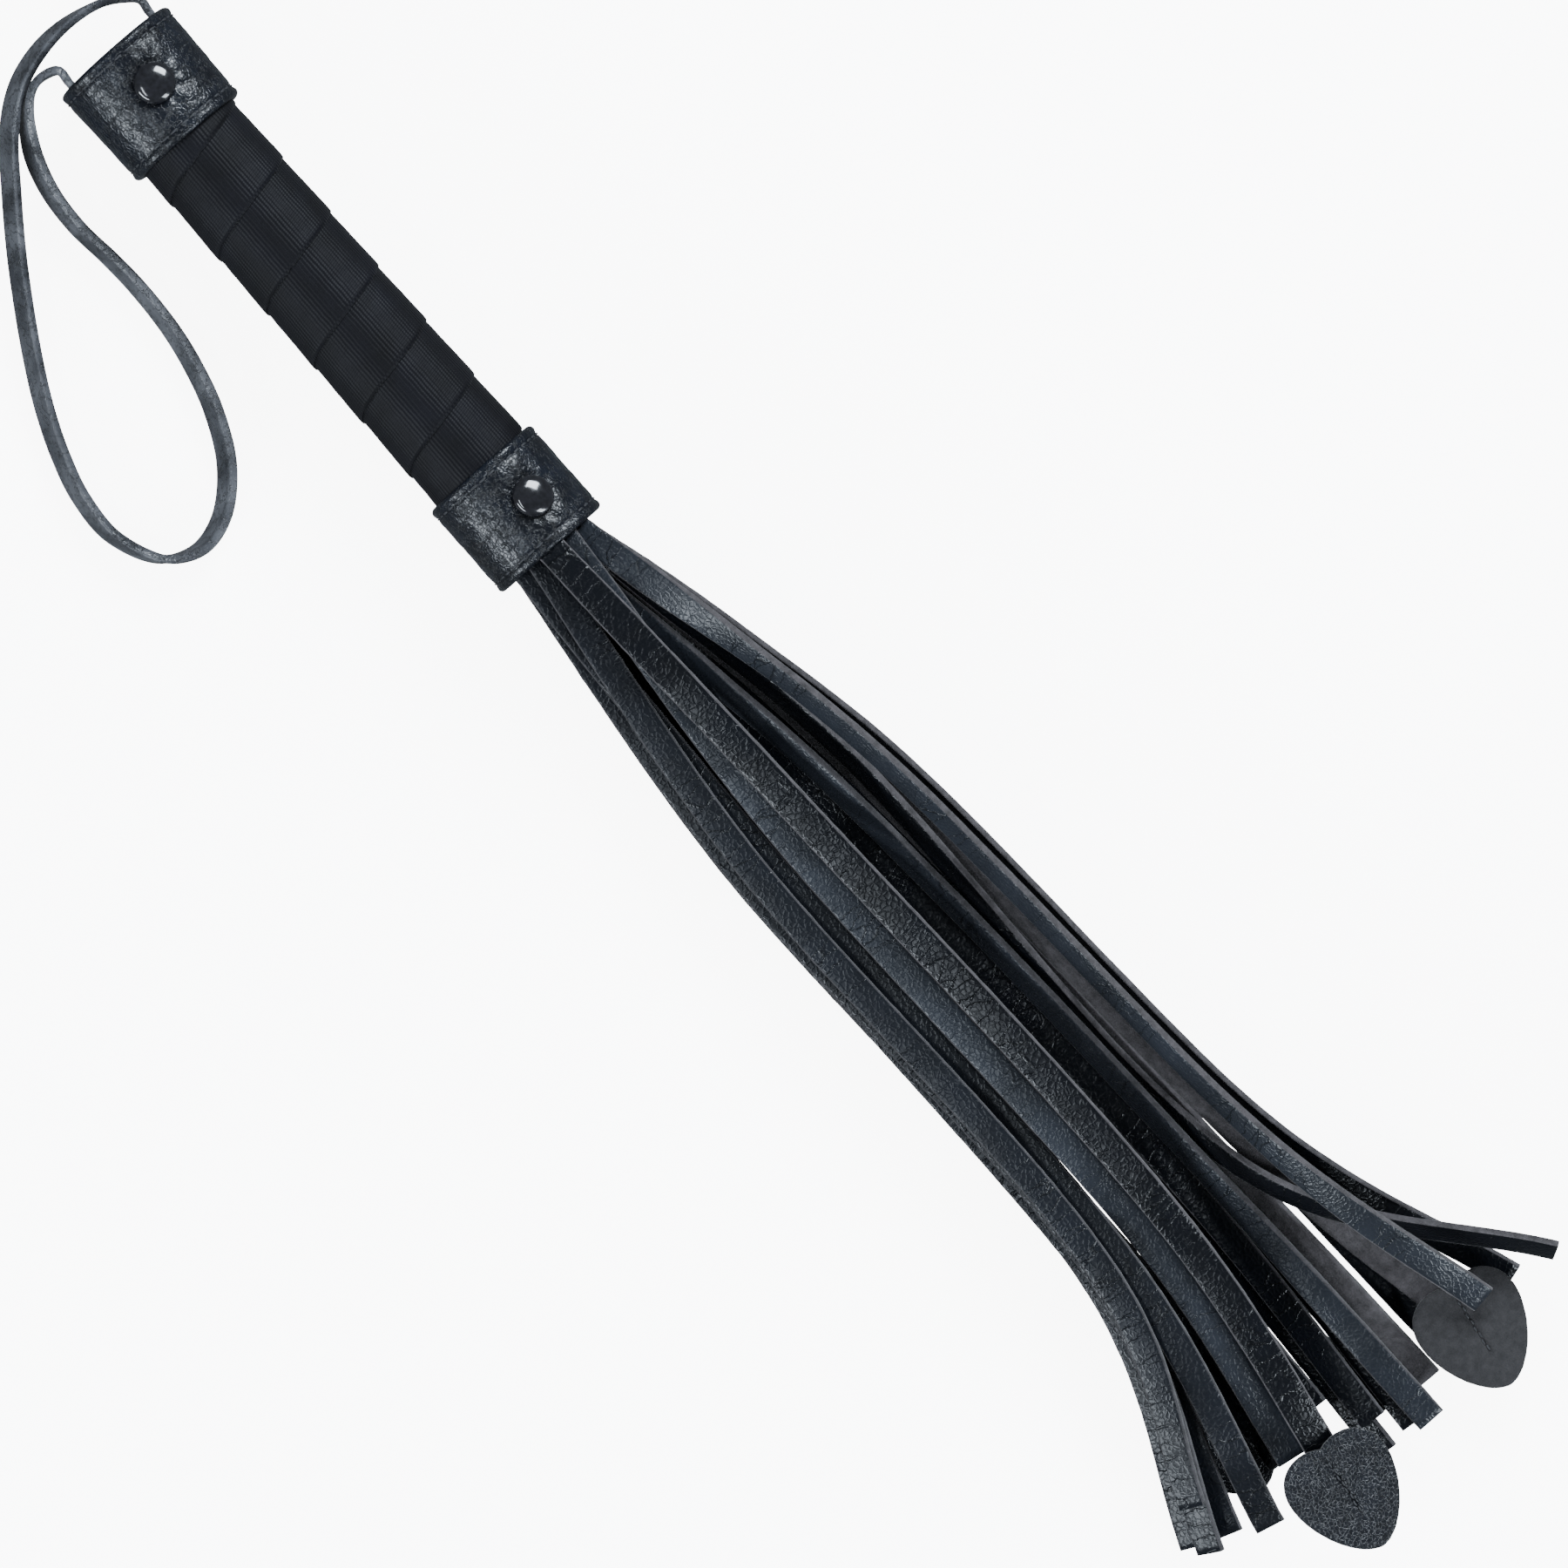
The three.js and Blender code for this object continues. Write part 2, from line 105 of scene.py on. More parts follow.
def make_light():
    world = bpy.data.worlds.new("world")
    bpy.context.scene.world = world
    world.use_nodes = True
    background = world.node_tree.nodes["Background"]
    background.inputs["Color"].default_value = (*COOL, 1)
    background.inputs["Strength"].default_value = 0.22
    area_light("key", (-0.55, 0.9, 0.75), (0, 0, 0), (0.6, 0.5), 34)
    area_light("side", (1.1, 0.2, 0.55), (0.05, 0, 0), (0.4, 0.9), 20)
    area_light("low", (0.0, -1.1, 0.45), (0, 0, 0), (0.9, 0.3), 20)
    area_light("sheen", (-0.25, -0.75, 1.25), (0.05, 0, 0), (0.8, 0.16), 7)


# ---------------------------------------------------------------- materials

BLACK = (0, 0, 0)
WHITE = (1, 1, 1)


class Nodes:
    """Short calls for one material's node tree."""

    def __init__(self, name):
        self.material = bpy.data.materials.new(name)
        self.material.use_nodes = True
        self.tree = self.material.node_tree
        self.shader = self.tree.nodes["Principled BSDF"]

    def node(self, kind, **values):
        made = self.tree.nodes.new(kind)
        for key, value in values.items():
            if key in made.inputs:
                made.inputs[key].default_value = value
            else:
                setattr(made, key, value)
        return made

    def link(self, source, target):
        self.tree.links.new(source, target)

    def ramp(self, source, stops):
        made = self.node("ShaderNodeValToRGB")
        elements = made.color_ramp.elements
        while len(elements) < len(stops):
            elements.new(0.5)
        for element, (at, color) in zip(elements, stops):
            element.position = at
            element.color = (*color, 1)
        self.link(source, made.inputs["Fac"])
        return made.outputs["Color"]

    def spread(self, source, low, high):
        made = self.node("ShaderNodeMapRange")
        made.inputs["To Min"].default_value = low
        made.inputs["To Max"].default_value = high
        self.link(source, made.inputs["Value"])
        return made.outputs["Result"]

    def bump(self, height, strength, distance, under=None):
        made = self.node("ShaderNodeBump", Strength=strength, Distance=distance)
        self.link(height, made.inputs["Height"])
        if under is not None:
            self.link(under, made.inputs["Normal"])
        return made.outputs["Normal"]


def object_coordinates(nodes, scale=(1, 1, 1)):
    source = nodes.node("ShaderNodeTexCoord").outputs["Object"]
    mapping = nodes.node("ShaderNodeMapping", Scale=scale)
    nodes.link(source, mapping.inputs["Vector"])
    return mapping.outputs["Vector"]


def strip_coordinates(nodes, scale=(1, 1, 1)):
    source = nodes.node("ShaderNodeUVMap", uv_map="strip").outputs["UV"]
    mapping = nodes.node("ShaderNodeMapping", Scale=scale)
    nodes.link(source, mapping.inputs["Vector"])
    return mapping.outputs["Vector"]


def noise_texture(nodes, coordinates, scale, detail=3, roughness=0.5):
    made = nodes.node("ShaderNodeTexNoise", Scale=scale, Detail=detail, Roughness=roughness)
    nodes.link(coordinates, made.inputs["Vector"])
    return made.outputs["Fac"]


def cell_edges(nodes, coordinates, scale):
    """How far each point is from the nearest edge between cells."""
    made = nodes.node("ShaderNodeTexVoronoi", feature="DISTANCE_TO_EDGE", Scale=scale, Randomness=1.0)
    nodes.link(coordinates, made.inputs["Vector"])
    return made.outputs["Distance"]


def pushed(nodes, coordinates, push, reach):
    """Coordinates moved about by a noise's colour, so that a pattern of cells looks natural."""
    made = nodes.node("ShaderNodeVectorMath", operation="MULTIPLY_ADD")
    nodes.link(push, made.inputs[0])
    made.inputs[1].default_value = reach
    nodes.link(coordinates, made.inputs[2])
    return made.outputs["Vector"]


def shade_painted_in_hollows(nodes, color, height, amount):
    """A colour made darker where a height map is low: painted shade in the hollows."""
    made = nodes.node("ShaderNodeMix", data_type="RGBA", blend_type="MULTIPLY")
    made.inputs["Factor"].default_value = amount
    nodes.link(color, made.inputs["A"])
    nodes.link(height, made.inputs["B"])
    return made.outputs["Result"]


def leather(name, dark, light, roughness, pebble, crease, coat=0.0, crease_depth=0.5, pebble_depth=0.35):
    """Grained leather: pebbles of `pebble` per metre and wandering creases of `crease` per metre."""
    nodes = Nodes(name)
    surface = nodes.shader.inputs
    coordinates = object_coordinates(nodes)
    warp = nodes.node("ShaderNodeTexNoise", Scale=pebble * 0.4, Detail=2)
    nodes.link(coordinates, warp.inputs["Vector"])
    wandering = pushed(nodes, coordinates, warp.outputs["Color"], (0.9 / pebble,) * 3)
    pebbles = cell_edges(nodes, wandering, pebble)
    pebble_height = nodes.ramp(pebbles, [(0.0, BLACK), (0.16, (0.8, 0.8, 0.8)), (0.5, WHITE)])
    lines = noise_texture(nodes, wandering, crease, 4, 0.6)
    crease_height = nodes.ramp(lines, [(0.465, WHITE), (0.5, BLACK), (0.535, WHITE)])
    patches = noise_texture(nodes, coordinates, crease * 0.35, 4)
    fine = noise_texture(nodes, coordinates, pebble * 3, 2)
    color = nodes.ramp(patches, [(0.35, dark), (0.68, light)])
    # Painted shade: the colour is darkened along the creases.
    nodes.link(shade_painted_in_hollows(nodes, color, crease_height, 0.6), surface["Base Color"])
    nodes.link(nodes.spread(patches, roughness + 0.04, roughness - 0.12), surface["Roughness"])
    normal = nodes.bump(crease_height, crease_depth, 0.0003)
    normal = nodes.bump(pebble_height, pebble_depth, 0.00016, normal)
    normal = nodes.bump(fine, 0.14, 0.00006, normal)
    nodes.link(normal, surface["Normal"])
    surface["Specular IOR Level"].default_value = 0.3
    surface["Coat Weight"].default_value = coat
    surface["Coat Roughness"].default_value = 0.3
    return nodes.material


def strip_leather(name, dark, light, roughness, pebble):
    """Leather on a tail: fine grain, with creases that run across the strip."""
    nodes = Nodes(name)
    surface = nodes.shader.inputs
    along = strip_coordinates(nodes)
    stretched = strip_coordinates(nodes, (1, 0.22, 1))
    warp = nodes.node("ShaderNodeTexNoise", Scale=260, Detail=3)
    nodes.link(along, warp.inputs["Vector"])
    creases = cell_edges(nodes, pushed(nodes, stretched, warp.outputs["Color"], (0.0035, 0.0012, 0)), 230)
    crease_height = nodes.ramp(creases, [(0.0, BLACK), (0.035, WHITE), (1.0, WHITE)])
    where = nodes.ramp(noise_texture(nodes, along, 38, 2), [(0.42, BLACK), (0.6, WHITE)])
    creased = nodes.node("ShaderNodeMix", data_type="RGBA")
    nodes.link(where, creased.inputs["Factor"])
    creased.inputs["A"].default_value = (*WHITE, 1)
    nodes.link(crease_height, creased.inputs["B"])
    grain = cell_edges(nodes, pushed(nodes, along, warp.outputs["Color"], (0.0016, 0.0016, 0)), pebble)
    grain_height = nodes.ramp(grain, [(0.0, BLACK), (0.2, (0.85, 0.85, 0.85)), (0.5, WHITE)])
    patches = noise_texture(nodes, along, 55, 4)
    color = nodes.ramp(patches, [(0.33, dark), (0.7, light)])
    # Painted shade: the colour is darkened along the cross creases.
    nodes.link(shade_painted_in_hollows(nodes, color, creased.outputs["Result"], 0.65), surface["Base Color"])
    nodes.link(nodes.spread(patches, roughness + 0.03, roughness - 0.12), surface["Roughness"])
    normal = nodes.bump(creased.outputs["Result"], 0.5, 0.0003)
    normal = nodes.bump(grain_height, 0.42, 0.00015, normal)
    nodes.link(normal, surface["Normal"])
    surface["Specular IOR Level"].default_value = 0.27
    return nodes.material


def suede(name, dark, light):
    """The flesh side and the cut edges: matt, fibrous, brown-grey."""
    nodes = Nodes(name)
    place_at = object_coordinates(nodes)
    fibre = noise_texture(nodes, place_at, 2600, 5, 0.75)
    blotch = noise_texture(nodes, place_at, 420, 4, 0.6)
    mixed = nodes.node("ShaderNodeMath", operation="MULTIPLY_ADD")
    nodes.link(fibre, mixed.inputs[0])
    mixed.inputs[1].default_value = 0.6
    nodes.link(blotch, mixed.inputs[2])
    nodes.link(nodes.ramp(mixed.outputs[0], [(0.55, dark), (1.0, light)]), nodes.shader.inputs["Base Color"])
    nodes.shader.inputs["Roughness"].default_value = 0.95
    nodes.shader.inputs["Sheen Weight"].default_value = 0.12
    nodes.link(nodes.bump(mixed.outputs[0], 0.9, 0.0003), nodes.shader.inputs["Normal"])
    return nodes.material


def matt(name, color):
    """A plain dull surface for places in shadow."""
    nodes = Nodes(name)
    nodes.shader.inputs["Base Color"].default_value = (*color, 1)
    nodes.shader.inputs["Roughness"].default_value = 0.9
    nodes.shader.inputs["Specular IOR Level"].default_value = 0.08
    return nodes.material


def ribbed_tape(name):
    """Woven tape: fine ribs across its length and a thread grain."""
    nodes = Nodes(name)
    along = strip_coordinates(nodes)
    wobble = nodes.node("ShaderNodeTexWave", Scale=330, Distortion=1.2, Detail=2)
    wobble.bands_direction = "X"
    nodes.link(along, wobble.inputs["Vector"])
    cross = nodes.node("ShaderNodeTexWave", Scale=520, Distortion=0.6)
    cross.bands_direction = "Y"
    nodes.link(along, cross.inputs["Vector"])
    patches = noise_texture(nodes, along, 90, 4)
    nodes.link(nodes.ramp(patches, [(0.3, (0.0006, 0.0006, 0.0012)), (0.75, (0.0024, 0.0025, 0.0046))]),
               nodes.shader.inputs["Base Color"])
    nodes.link(nodes.spread(patches, 0.62, 0.48), nodes.shader.inputs["Roughness"])
    normal = nodes.bump(wobble.outputs["Fac"], 0.45, 0.0002)
    normal = nodes.bump(cross.outputs["Fac"], 0.25, 0.0001, normal)
    normal = nodes.bump(noise_texture(nodes, along, 160, 3), 0.3, 0.0006, normal)
    nodes.link(normal, nodes.shader.inputs["Normal"])
    nodes.shader.inputs["Specular IOR Level"].default_value = 0.12
    nodes.shader.inputs["Sheen Weight"].default_value = 0.03
    return nodes.material


def gloss(name, color, roughness):
    nodes = Nodes(name)
    place_at = object_coordinates(nodes)
    scuffs = noise_texture(nodes, place_at, 900, 5)
    nodes.link(nodes.ramp(scuffs, [(0.3, color), (0.8, tuple(3 * c for c in color))]),
               nodes.shader.inputs["Base Color"])
    nodes.link(nodes.spread(scuffs, roughness - 0.05, roughness + 0.1), nodes.shader.inputs["Roughness"])
    nodes.link(nodes.bump(scuffs, 0.06, 0.0002), nodes.shader.inputs["Normal"])
    nodes.shader.inputs["Coat Weight"].default_value = 0.6
    nodes.shader.inputs["Coat Roughness"].default_value = 0.06
    return nodes.material


def grained(name, dark, light, scale, roughness):
    """Wood, foam and thread: one stretched noise for colour and bump."""
    nodes = Nodes(name)
    place_at = object_coordinates(nodes, scale)
    grain = noise_texture(nodes, place_at, 100, 6, 0.6)
    nodes.link(nodes.ramp(grain, [(0.3, dark), (0.7, light)]), nodes.shader.inputs["Base Color"])
    nodes.link(nodes.bump(grain, 0.4, 0.0002), nodes.shader.inputs["Normal"])
    nodes.shader.inputs["Roughness"].default_value = roughness
    return nodes.material


LOOKS = {
    "end": matt("end_leather", (0.003, 0.003, 0.0035)),
    "cuff": leather("cuff_leather", (0.0022, 0.0028, 0.0045), (0.006, 0.0078, 0.012), 0.3, 1050, 400,
                    coat=0.08),
    # The strap's lighter grey is partly its own tone and partly painted sheen.
    "strap": leather("strap_leather", (0.03, 0.0315, 0.036), (0.095, 0.098, 0.108), 0.34, 1100, 300),
    "heart": leather("heart_leather", (0.004, 0.0048, 0.0065), (0.009, 0.0105, 0.014), 0.4, 1150, 330,
                     crease_depth=0.08, pebble_depth=0.9),
    # The three tail looks are one leather in three tones: painted light (bright), painted half shade (mid)
    # and painted shade (dark), picked per tail.
    "bright": strip_leather("tail_painted_lit", (0.008, 0.0096, 0.0126), (0.018, 0.021, 0.027), 0.36, 900),
    "mid": strip_leather("tail_painted_half_shade", (0.0028, 0.0035, 0.0052), (0.007, 0.0085, 0.012), 0.38, 800),
    "dark": strip_leather("tail_painted_shade", (0.0011, 0.0014, 0.0022), (0.003, 0.0037, 0.0056), 0.33, 760),
    "suede": suede("suede", (0.016, 0.0145, 0.0155), (0.062, 0.056, 0.06)),
    "heart_back": suede("heart_back", (0.005, 0.0047, 0.0052), (0.02, 0.0185, 0.02)),
    "suede_dark": suede("suede_dark", (0.01, 0.0093, 0.0103), (0.042, 0.039, 0.043)),
    "tape": ribbed_tape("grip_tape"),
    "rivet": gloss("rivet_gloss", (0.004, 0.004, 0.005), 0.13),
    "thread": grained("thread", (0.006, 0.0065, 0.008), (0.02, 0.021, 0.025), (8, 8, 8), 0.6),
    "wood": grained("wood_core", (0.25, 0.15, 0.07), (0.5, 0.35, 0.2), (0.4, 6, 6), 0.7),
    "foam": grained("foam", (0.015, 0.015, 0.016), (0.05, 0.05, 0.052), (12, 12, 12), 0.95),
}


# ---------------------------------------------------------------- mesh helpers

def add_mesh(name, vertices, faces, looks, face_looks=None, uvs=None):
    """A smooth-shaded piece in frame metres. face_looks gives each face its material's place."""
    mesh = bpy.data.meshes.new(name)
    mesh.from_pydata([tuple(v) for v in vertices], [], faces)
    for look in looks:
        mesh.materials.append(LOOKS[look])
    if face_looks:
        mesh.polygons.foreach_set("material_index", face_looks)
    mesh.polygons.foreach_set("use_smooth", [True] * len(faces))
    if uvs is not None:
        layer = mesh.uv_layers.new(name="strip")
        for loop in mesh.loops:
            layer.data[loop.index].uv = uvs[loop.vertex_index]
    mesh.update()
    piece = bpy.data.objects.new(name, mesh)
    bpy.context.collection.objects.link(piece)
    return piece


def rough(point, scale, seed=0.0):
    """Smooth noise from -1 to 1 at a design point, `scale` features per millimetre."""
    return noise.noise(Vector(point) * scale + Vector((seed, seed * 0.7, -seed)))


def loop_faces(rings, sides):
    """Quads between successive rings of `sides` points, wound so that they face out."""
    faces = []
    for ring in range(rings - 1):
        for side in range(sides):
            a = ring * sides + side
            b = ring * sides + (side + 1) % sides
            faces.append((a, b, b + sides, a + sides))
    return faces


CUT_CORNER = 0.28
UNDERSIDE_SHIFT = 12
STRIP_SHIFT = 0.031


def strip_profile(half_width, half_thickness, steps):
    """Points round a flat strip's section: across, through, and how far each is on the cut edge."""
    corner = CUT_CORNER
    top = []
    for step in range(steps + 1):
        u = -half_width + corner + (2 * half_width - 2 * corner) * step / steps
        top.append((u, half_thickness, 0.0))
    side = [
        (half_width - corner * 0.3, half_thickness - corner * 0.3, 0.6),
        (half_width, half_thickness - corner, 1.0),
        (half_width, 0.0, 1.0),
        (half_width, -half_thickness + corner, 1.0),
        (half_width - corner * 0.3, -half_thickness + corner * 0.3, 0.6),
    ]
    half = top + side
    return half + [(-u, -v, edge) for u, v, edge in half]


def sweep(name, stations, profile, looks, pick_look, scale_at, uv_row=0.0, fuzz=0.0, lift_at=None):
    """A closed strip through stations of (point, across, through) in design millimetres."""
    sides = len(profile)
    vertices, uvs = [], []
    length = 0.0
    for index, (point, across, through) in enumerate(stations):
        if index:
            length += (point - stations[index - 1][0]).length
        scale = scale_at(index)
        for u, v, edge in profile:
            ragged = fuzz * edge * rough((length, u, v), 1.1, uv_row)
            lift = lift_at(length, u) if lift_at else 0.0
            spot = point + across * (u * scale + math.copysign(ragged, u)) + through * (v + lift)
            vertices.append(place(spot))
            uvs.append((length * MM, (u + (0 if v > 0 else UNDERSIDE_SHIFT)) * MM + uv_row * STRIP_SHIFT))
    faces = loop_faces(len(stations), sides)
    face_looks = [pick_look(profile[i % sides], profile[(i + 1) % sides]) for i in range(len(faces))]
    first = tuple(range(sides))[::-1]
    last = tuple(range(len(vertices) - sides, len(vertices)))
    edge_look = pick_look((0, 0, 1.0), (0, 0, 1.0))
    faces += [first, last]
    face_looks += [edge_look, edge_look]
    return add_mesh(name, vertices, faces, looks, face_looks, uvs)


def frames_along(points, across_hint):
    """Stations along points; across_hint(index, along) gives the direction across the strip."""
    stations = []
    for index, point in enumerate(points):
        before = points[max(0, index - 1)]
        after = points[min(len(points) - 1, index + 1)]
        along = (after - before).normalized()
        across = across_hint(index, along)
        across = (across - along * across.dot(along)).normalized()
        stations.append((point, across, along.cross(across)))
    return stations


def round_axis(x, radius, angle):
    return place((x, radius * math.cos(angle), AXIS_Z + radius * math.sin(angle)))


def turned(name, profile, steps, look, radius_at):
    """A closed ring about the handle's axis. The profile is a closed run of (x, radius)."""
    vertices, uvs = [], []
    for step in range(steps):
        angle = 2 * math.pi * step / steps
        for x, radius in profile:
            vertices.append(round_axis(x, radius_at(x, radius, angle), angle))
            uvs.append((radius * angle * MM, x * MM))
    sides = len(profile)
    faces = []
    for step in range(steps):
        following = (step + 1) % steps
        for side in range(sides):
            a, b = step * sides + side, step * sides + (side + 1) % sides
            c, d = following * sides + (side + 1) % sides, following * sides + side
            faces.append((a, b, c, d))
    return add_mesh(name, vertices, faces, [look], None, uvs)


# ---------------------------------------------------------------- wrist loop

STRAP_WIDTH = 7.5
STRAP_THICKNESS = 2.0
STRAP_LEAN = Vector((0.38, 0.42, 1))
STRAP_HINGE_X = -5.0
STRAP_EXIT_Y = 12.6
STRAP_STEP = 0.8
STRAP_ROOT_SHARE = 0.97
STRAP_LOOP_SHARE = 1.03
STRAP_ROUTE = [
    (-5.2, 12.9, 16.4), (-7.6, 10.6, 16.4), (-10.2, 6.2, 16.4), (-12.3, -3.6, 16.4), (-11.8, -12.9, 16.2),
    (-8.8, -22.2, 14.4), (-1.9, -31.4, 11.6), (8, -39.6, 9), (20.7, -49.2, 6.6), (38.4, -60.7, 4.8),
    (51.4, -67.9, 4.2), (62.8, -72.7, 4), (73.2, -75.6, 4), (85.2, -76, 4), (97, -70.6, 4),
    (100.9, -62.6, 4), (98.8, -53.9, 4), (90.6, -44.8, 4), (78.6, -38.4, 4), (66.8, -34.9, 4),
    (56.7, -33.2, 4), (44.5, -32.6, 4), (35.3, -33, 4.1), (24.5, -33.9, 5), (13.9, -33, 7),
    (4.4, -29.8, 10), (-3.2, -24.2, 13.4), (-6.6, -18.2, 15.9), (-5.2, -12.6, 16.4),
]


def smooth_line(points, spacing):
    """Points every `spacing` along a centripetal curve through the given points."""
    ends = [2 * points[0] - points[1], *points, 2 * points[-1] - points[-2]]
    dense = []
    for at in range(1, len(ends) - 2):
        p0, p1, p2, p3 = ends[at - 1:at + 3]
        t1 = math.sqrt((p1 - p0).length)
        t2 = t1 + math.sqrt((p2 - p1).length)
        t3 = t2 + math.sqrt((p3 - p2).length)
        for step in range(24):
            t = t1 + (t2 - t1) * step / 24
            a = p0 * ((t1 - t) / t1) + p1 * (t / t1)
            b = p1 * ((t2 - t) / (t2 - t1)) + p2 * ((t - t1) / (t2 - t1))
            c = p2 * ((t3 - t) / (t3 - t2)) + p3 * ((t - t2) / (t3 - t2))
            d = a * ((t2 - t) / t2) + b * (t / t2)
            e = b * ((t3 - t) / (t3 - t1)) + c * ((t - t1) / (t3 - t1))
            dense.append(d * ((t2 - t) / (t2 - t1)) + e * ((t - t1) / (t2 - t1)))
    dense.append(points[-1].copy())
    return even(dense, spacing)


def walked_along(points):
    walked = [0.0]
    for before, after in zip(points, points[1:]):
        walked.append(walked[-1] + (after - before).length)
    return walked


def even(points, spacing):
    """The same line with points at equal steps of about `spacing`."""
    walked = walked_along(points)
    count = max(2, round(walked[-1] / spacing))
    targets = np.linspace(0, walked[-1], count + 1)
    columns = [np.interp(targets, walked, [p[axis] for p in points]) for axis in range(3)]
    return [Vector(p) for p in zip(*columns)]


def strap_profile():
    """Two leather layers glued back to back, with a groove along each edge."""
    w, t = STRAP_WIDTH / 2, STRAP_THICKNESS / 2
    half = [
        (-w + 0.45, t, 0.0), (-w * 0.66, t + 0.03, 0.0), (-w * 0.33, t + 0.05, 0.0), (0, t + 0.06, 0.0),
        (w * 0.33, t + 0.05, 0.0), (w * 0.66, t + 0.03, 0.0), (w - 0.45, t, 0.0),
        (w - 0.12, t - 0.14, 0.5), (w, t - 0.4, 1.0), (w, 0.28, 1.0), (w - 0.22, 0.06, 1.0),
    ]
    return half + [(-u, -v, edge) for u, v, edge in half]


def round_end(distance):
    """How wide a rounded strap is at a distance from its end, as a share of its width."""
    radius = STRAP_WIDTH / 2
    inside = min(distance, radius)
    return max(0.12, math.sqrt(max(0.0, radius ** 2 - (radius - inside) ** 2)) / radius)


def strap_stations():
    """One run of strap out of the butt, round the loop and back in, leaning as it lies down."""
    inside = [Vector((2.3, STRAP_EXIT_Y, AXIS_Z)), Vector((-1.5, STRAP_EXIT_Y, AXIS_Z))]
    back = [Vector((p.x, -p.y, p.z)) for p in reversed(inside)]
    line = smooth_line([*inside, *(Vector(p) for p in STRAP_ROUTE), *back], STRAP_STEP)
    walked = walked_along(line)

    def across(index, along):
        from_end = min(walked[index], walked[-1] - walked[index])
        lean = smooth_step((from_end - 8) / 28)
        return Vector((STRAP_LEAN.x * lean, STRAP_LEAN.y * lean, 1))

    return frames_along(line, across)


def strap_piece(name, body, stations, round_first, round_last, thickness_scale):
    walked = walked_along([station[0] for station in stations])

    def scale_at(index):
        scale = 1.0
        if round_first:
            scale = min(scale, round_end(walked[index]))
        if round_last:
            scale = min(scale, round_end(walked[-1] - walked[index]))
        return scale

    profile = [(u, v * thickness_scale, edge) for u, v, edge in strap_profile()]
    piece = sweep(name, stations, profile, ["strap"], lambda a, b: 0, scale_at, fuzz=0.12)
    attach(piece, body)
    return piece


def make_wrist_loop():
    """The strap in three pieces which lap where the loop is hinged: two roots and the loop."""
    stations = strap_stations()
    past_hinge = [index for index, station in enumerate(stations) if station[0].x < STRAP_HINGE_X]
    lap = round(STRAP_WIDTH / 2 / STRAP_STEP)
    first, last = past_hinge[0], past_hinge[-1]
    strap_piece("strap_root_upper", "handle", stations[:first + lap + 1], False, True,
                STRAP_ROOT_SHARE)
    strap_piece("strap_root_lower", "handle", stations[last - lap:], True, False, STRAP_ROOT_SHARE)
    loop = stations[first - lap:last + lap + 1]
    piece = strap_piece("wrist_loop_strap", "wrist_loop", loop, True, True, STRAP_LOOP_SHARE)
    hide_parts("wrist_loop")
    line = [station[0] for station in loop]
    length = walked_along(line)[-1] * MM
    path = [list(place(p)) for p in line[::2]]
    place((0, STRAP_EXIT_Y, AXIS_Z))


# ---------------------------------------------------------------- handle

TAPE_PITCH = 17.0
TAPE_WIDTH = 18.6
TAPE_FIRST_CENTRE = 18.5
TAPE_LAST_CENTRE = 137.0
TAPE_UNDER = 13.35
TAPE_RISE = 0.5
TAPE_THICKNESS = 0.4
TAPE_EDGE_DROP = 0.09
TAPE_EDGE_SHARE = 0.03
TAPE_MIDDLE_RADIUS = 13.6
TAPE_STEPS_ACROSS = 16
TAPE_STEPS_PER_TURN = 72


def make_grip():
    """Tape wound in a helix; each turn's tail-side edge lies over the next turn."""
    turns = (TAPE_LAST_CENTRE - TAPE_FIRST_CENTRE) / TAPE_PITCH
    count = round(turns * TAPE_STEPS_PER_TURN)
    profile = [(step / TAPE_STEPS_ACROSS, True) for step in range(TAPE_STEPS_ACROSS + 1)]
    profile += [(step / TAPE_STEPS_ACROSS, False) for step in range(TAPE_STEPS_ACROSS, -1, -1)]
    vertices, uvs = [], []
    for step in range(count + 1):
        angle = 2 * math.pi * step / TAPE_STEPS_PER_TURN
        centre = TAPE_FIRST_CENTRE + TAPE_PITCH * angle / (2 * math.pi)
        for share, outer in profile:
            ragged = 0.35 * rough((angle * 13, 0, 0), 0.9) if share > 1 - TAPE_EDGE_SHARE else 0.0
            x = centre + TAPE_WIDTH * (share - 0.5) + ragged
            radius = TAPE_UNDER + TAPE_RISE * share * TAPE_WIDTH / TAPE_PITCH
            radius += 0.1 * rough((x, angle * 5, 3), 0.35) * math.sin(math.pi * share)
            if not outer:
                radius -= TAPE_THICKNESS
            elif share < TAPE_EDGE_SHARE or share > 1 - TAPE_EDGE_SHARE:
                radius -= TAPE_EDGE_DROP
            vertices.append(round_axis(x, radius, angle))
            uvs.append((TAPE_MIDDLE_RADIUS * angle * MM, share * TAPE_WIDTH * MM))
    sides = len(profile)
    faces = [face[::-1] for face in loop_faces(count + 1, sides)]
    faces += [tuple(range(sides)), tuple(range(len(vertices) - sides, len(vertices)))[::-1]]
    piece = add_mesh("grip_tape", vertices, faces, ["tape"], None, uvs)
    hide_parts("grip_wrap")
    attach(piece, "handle")


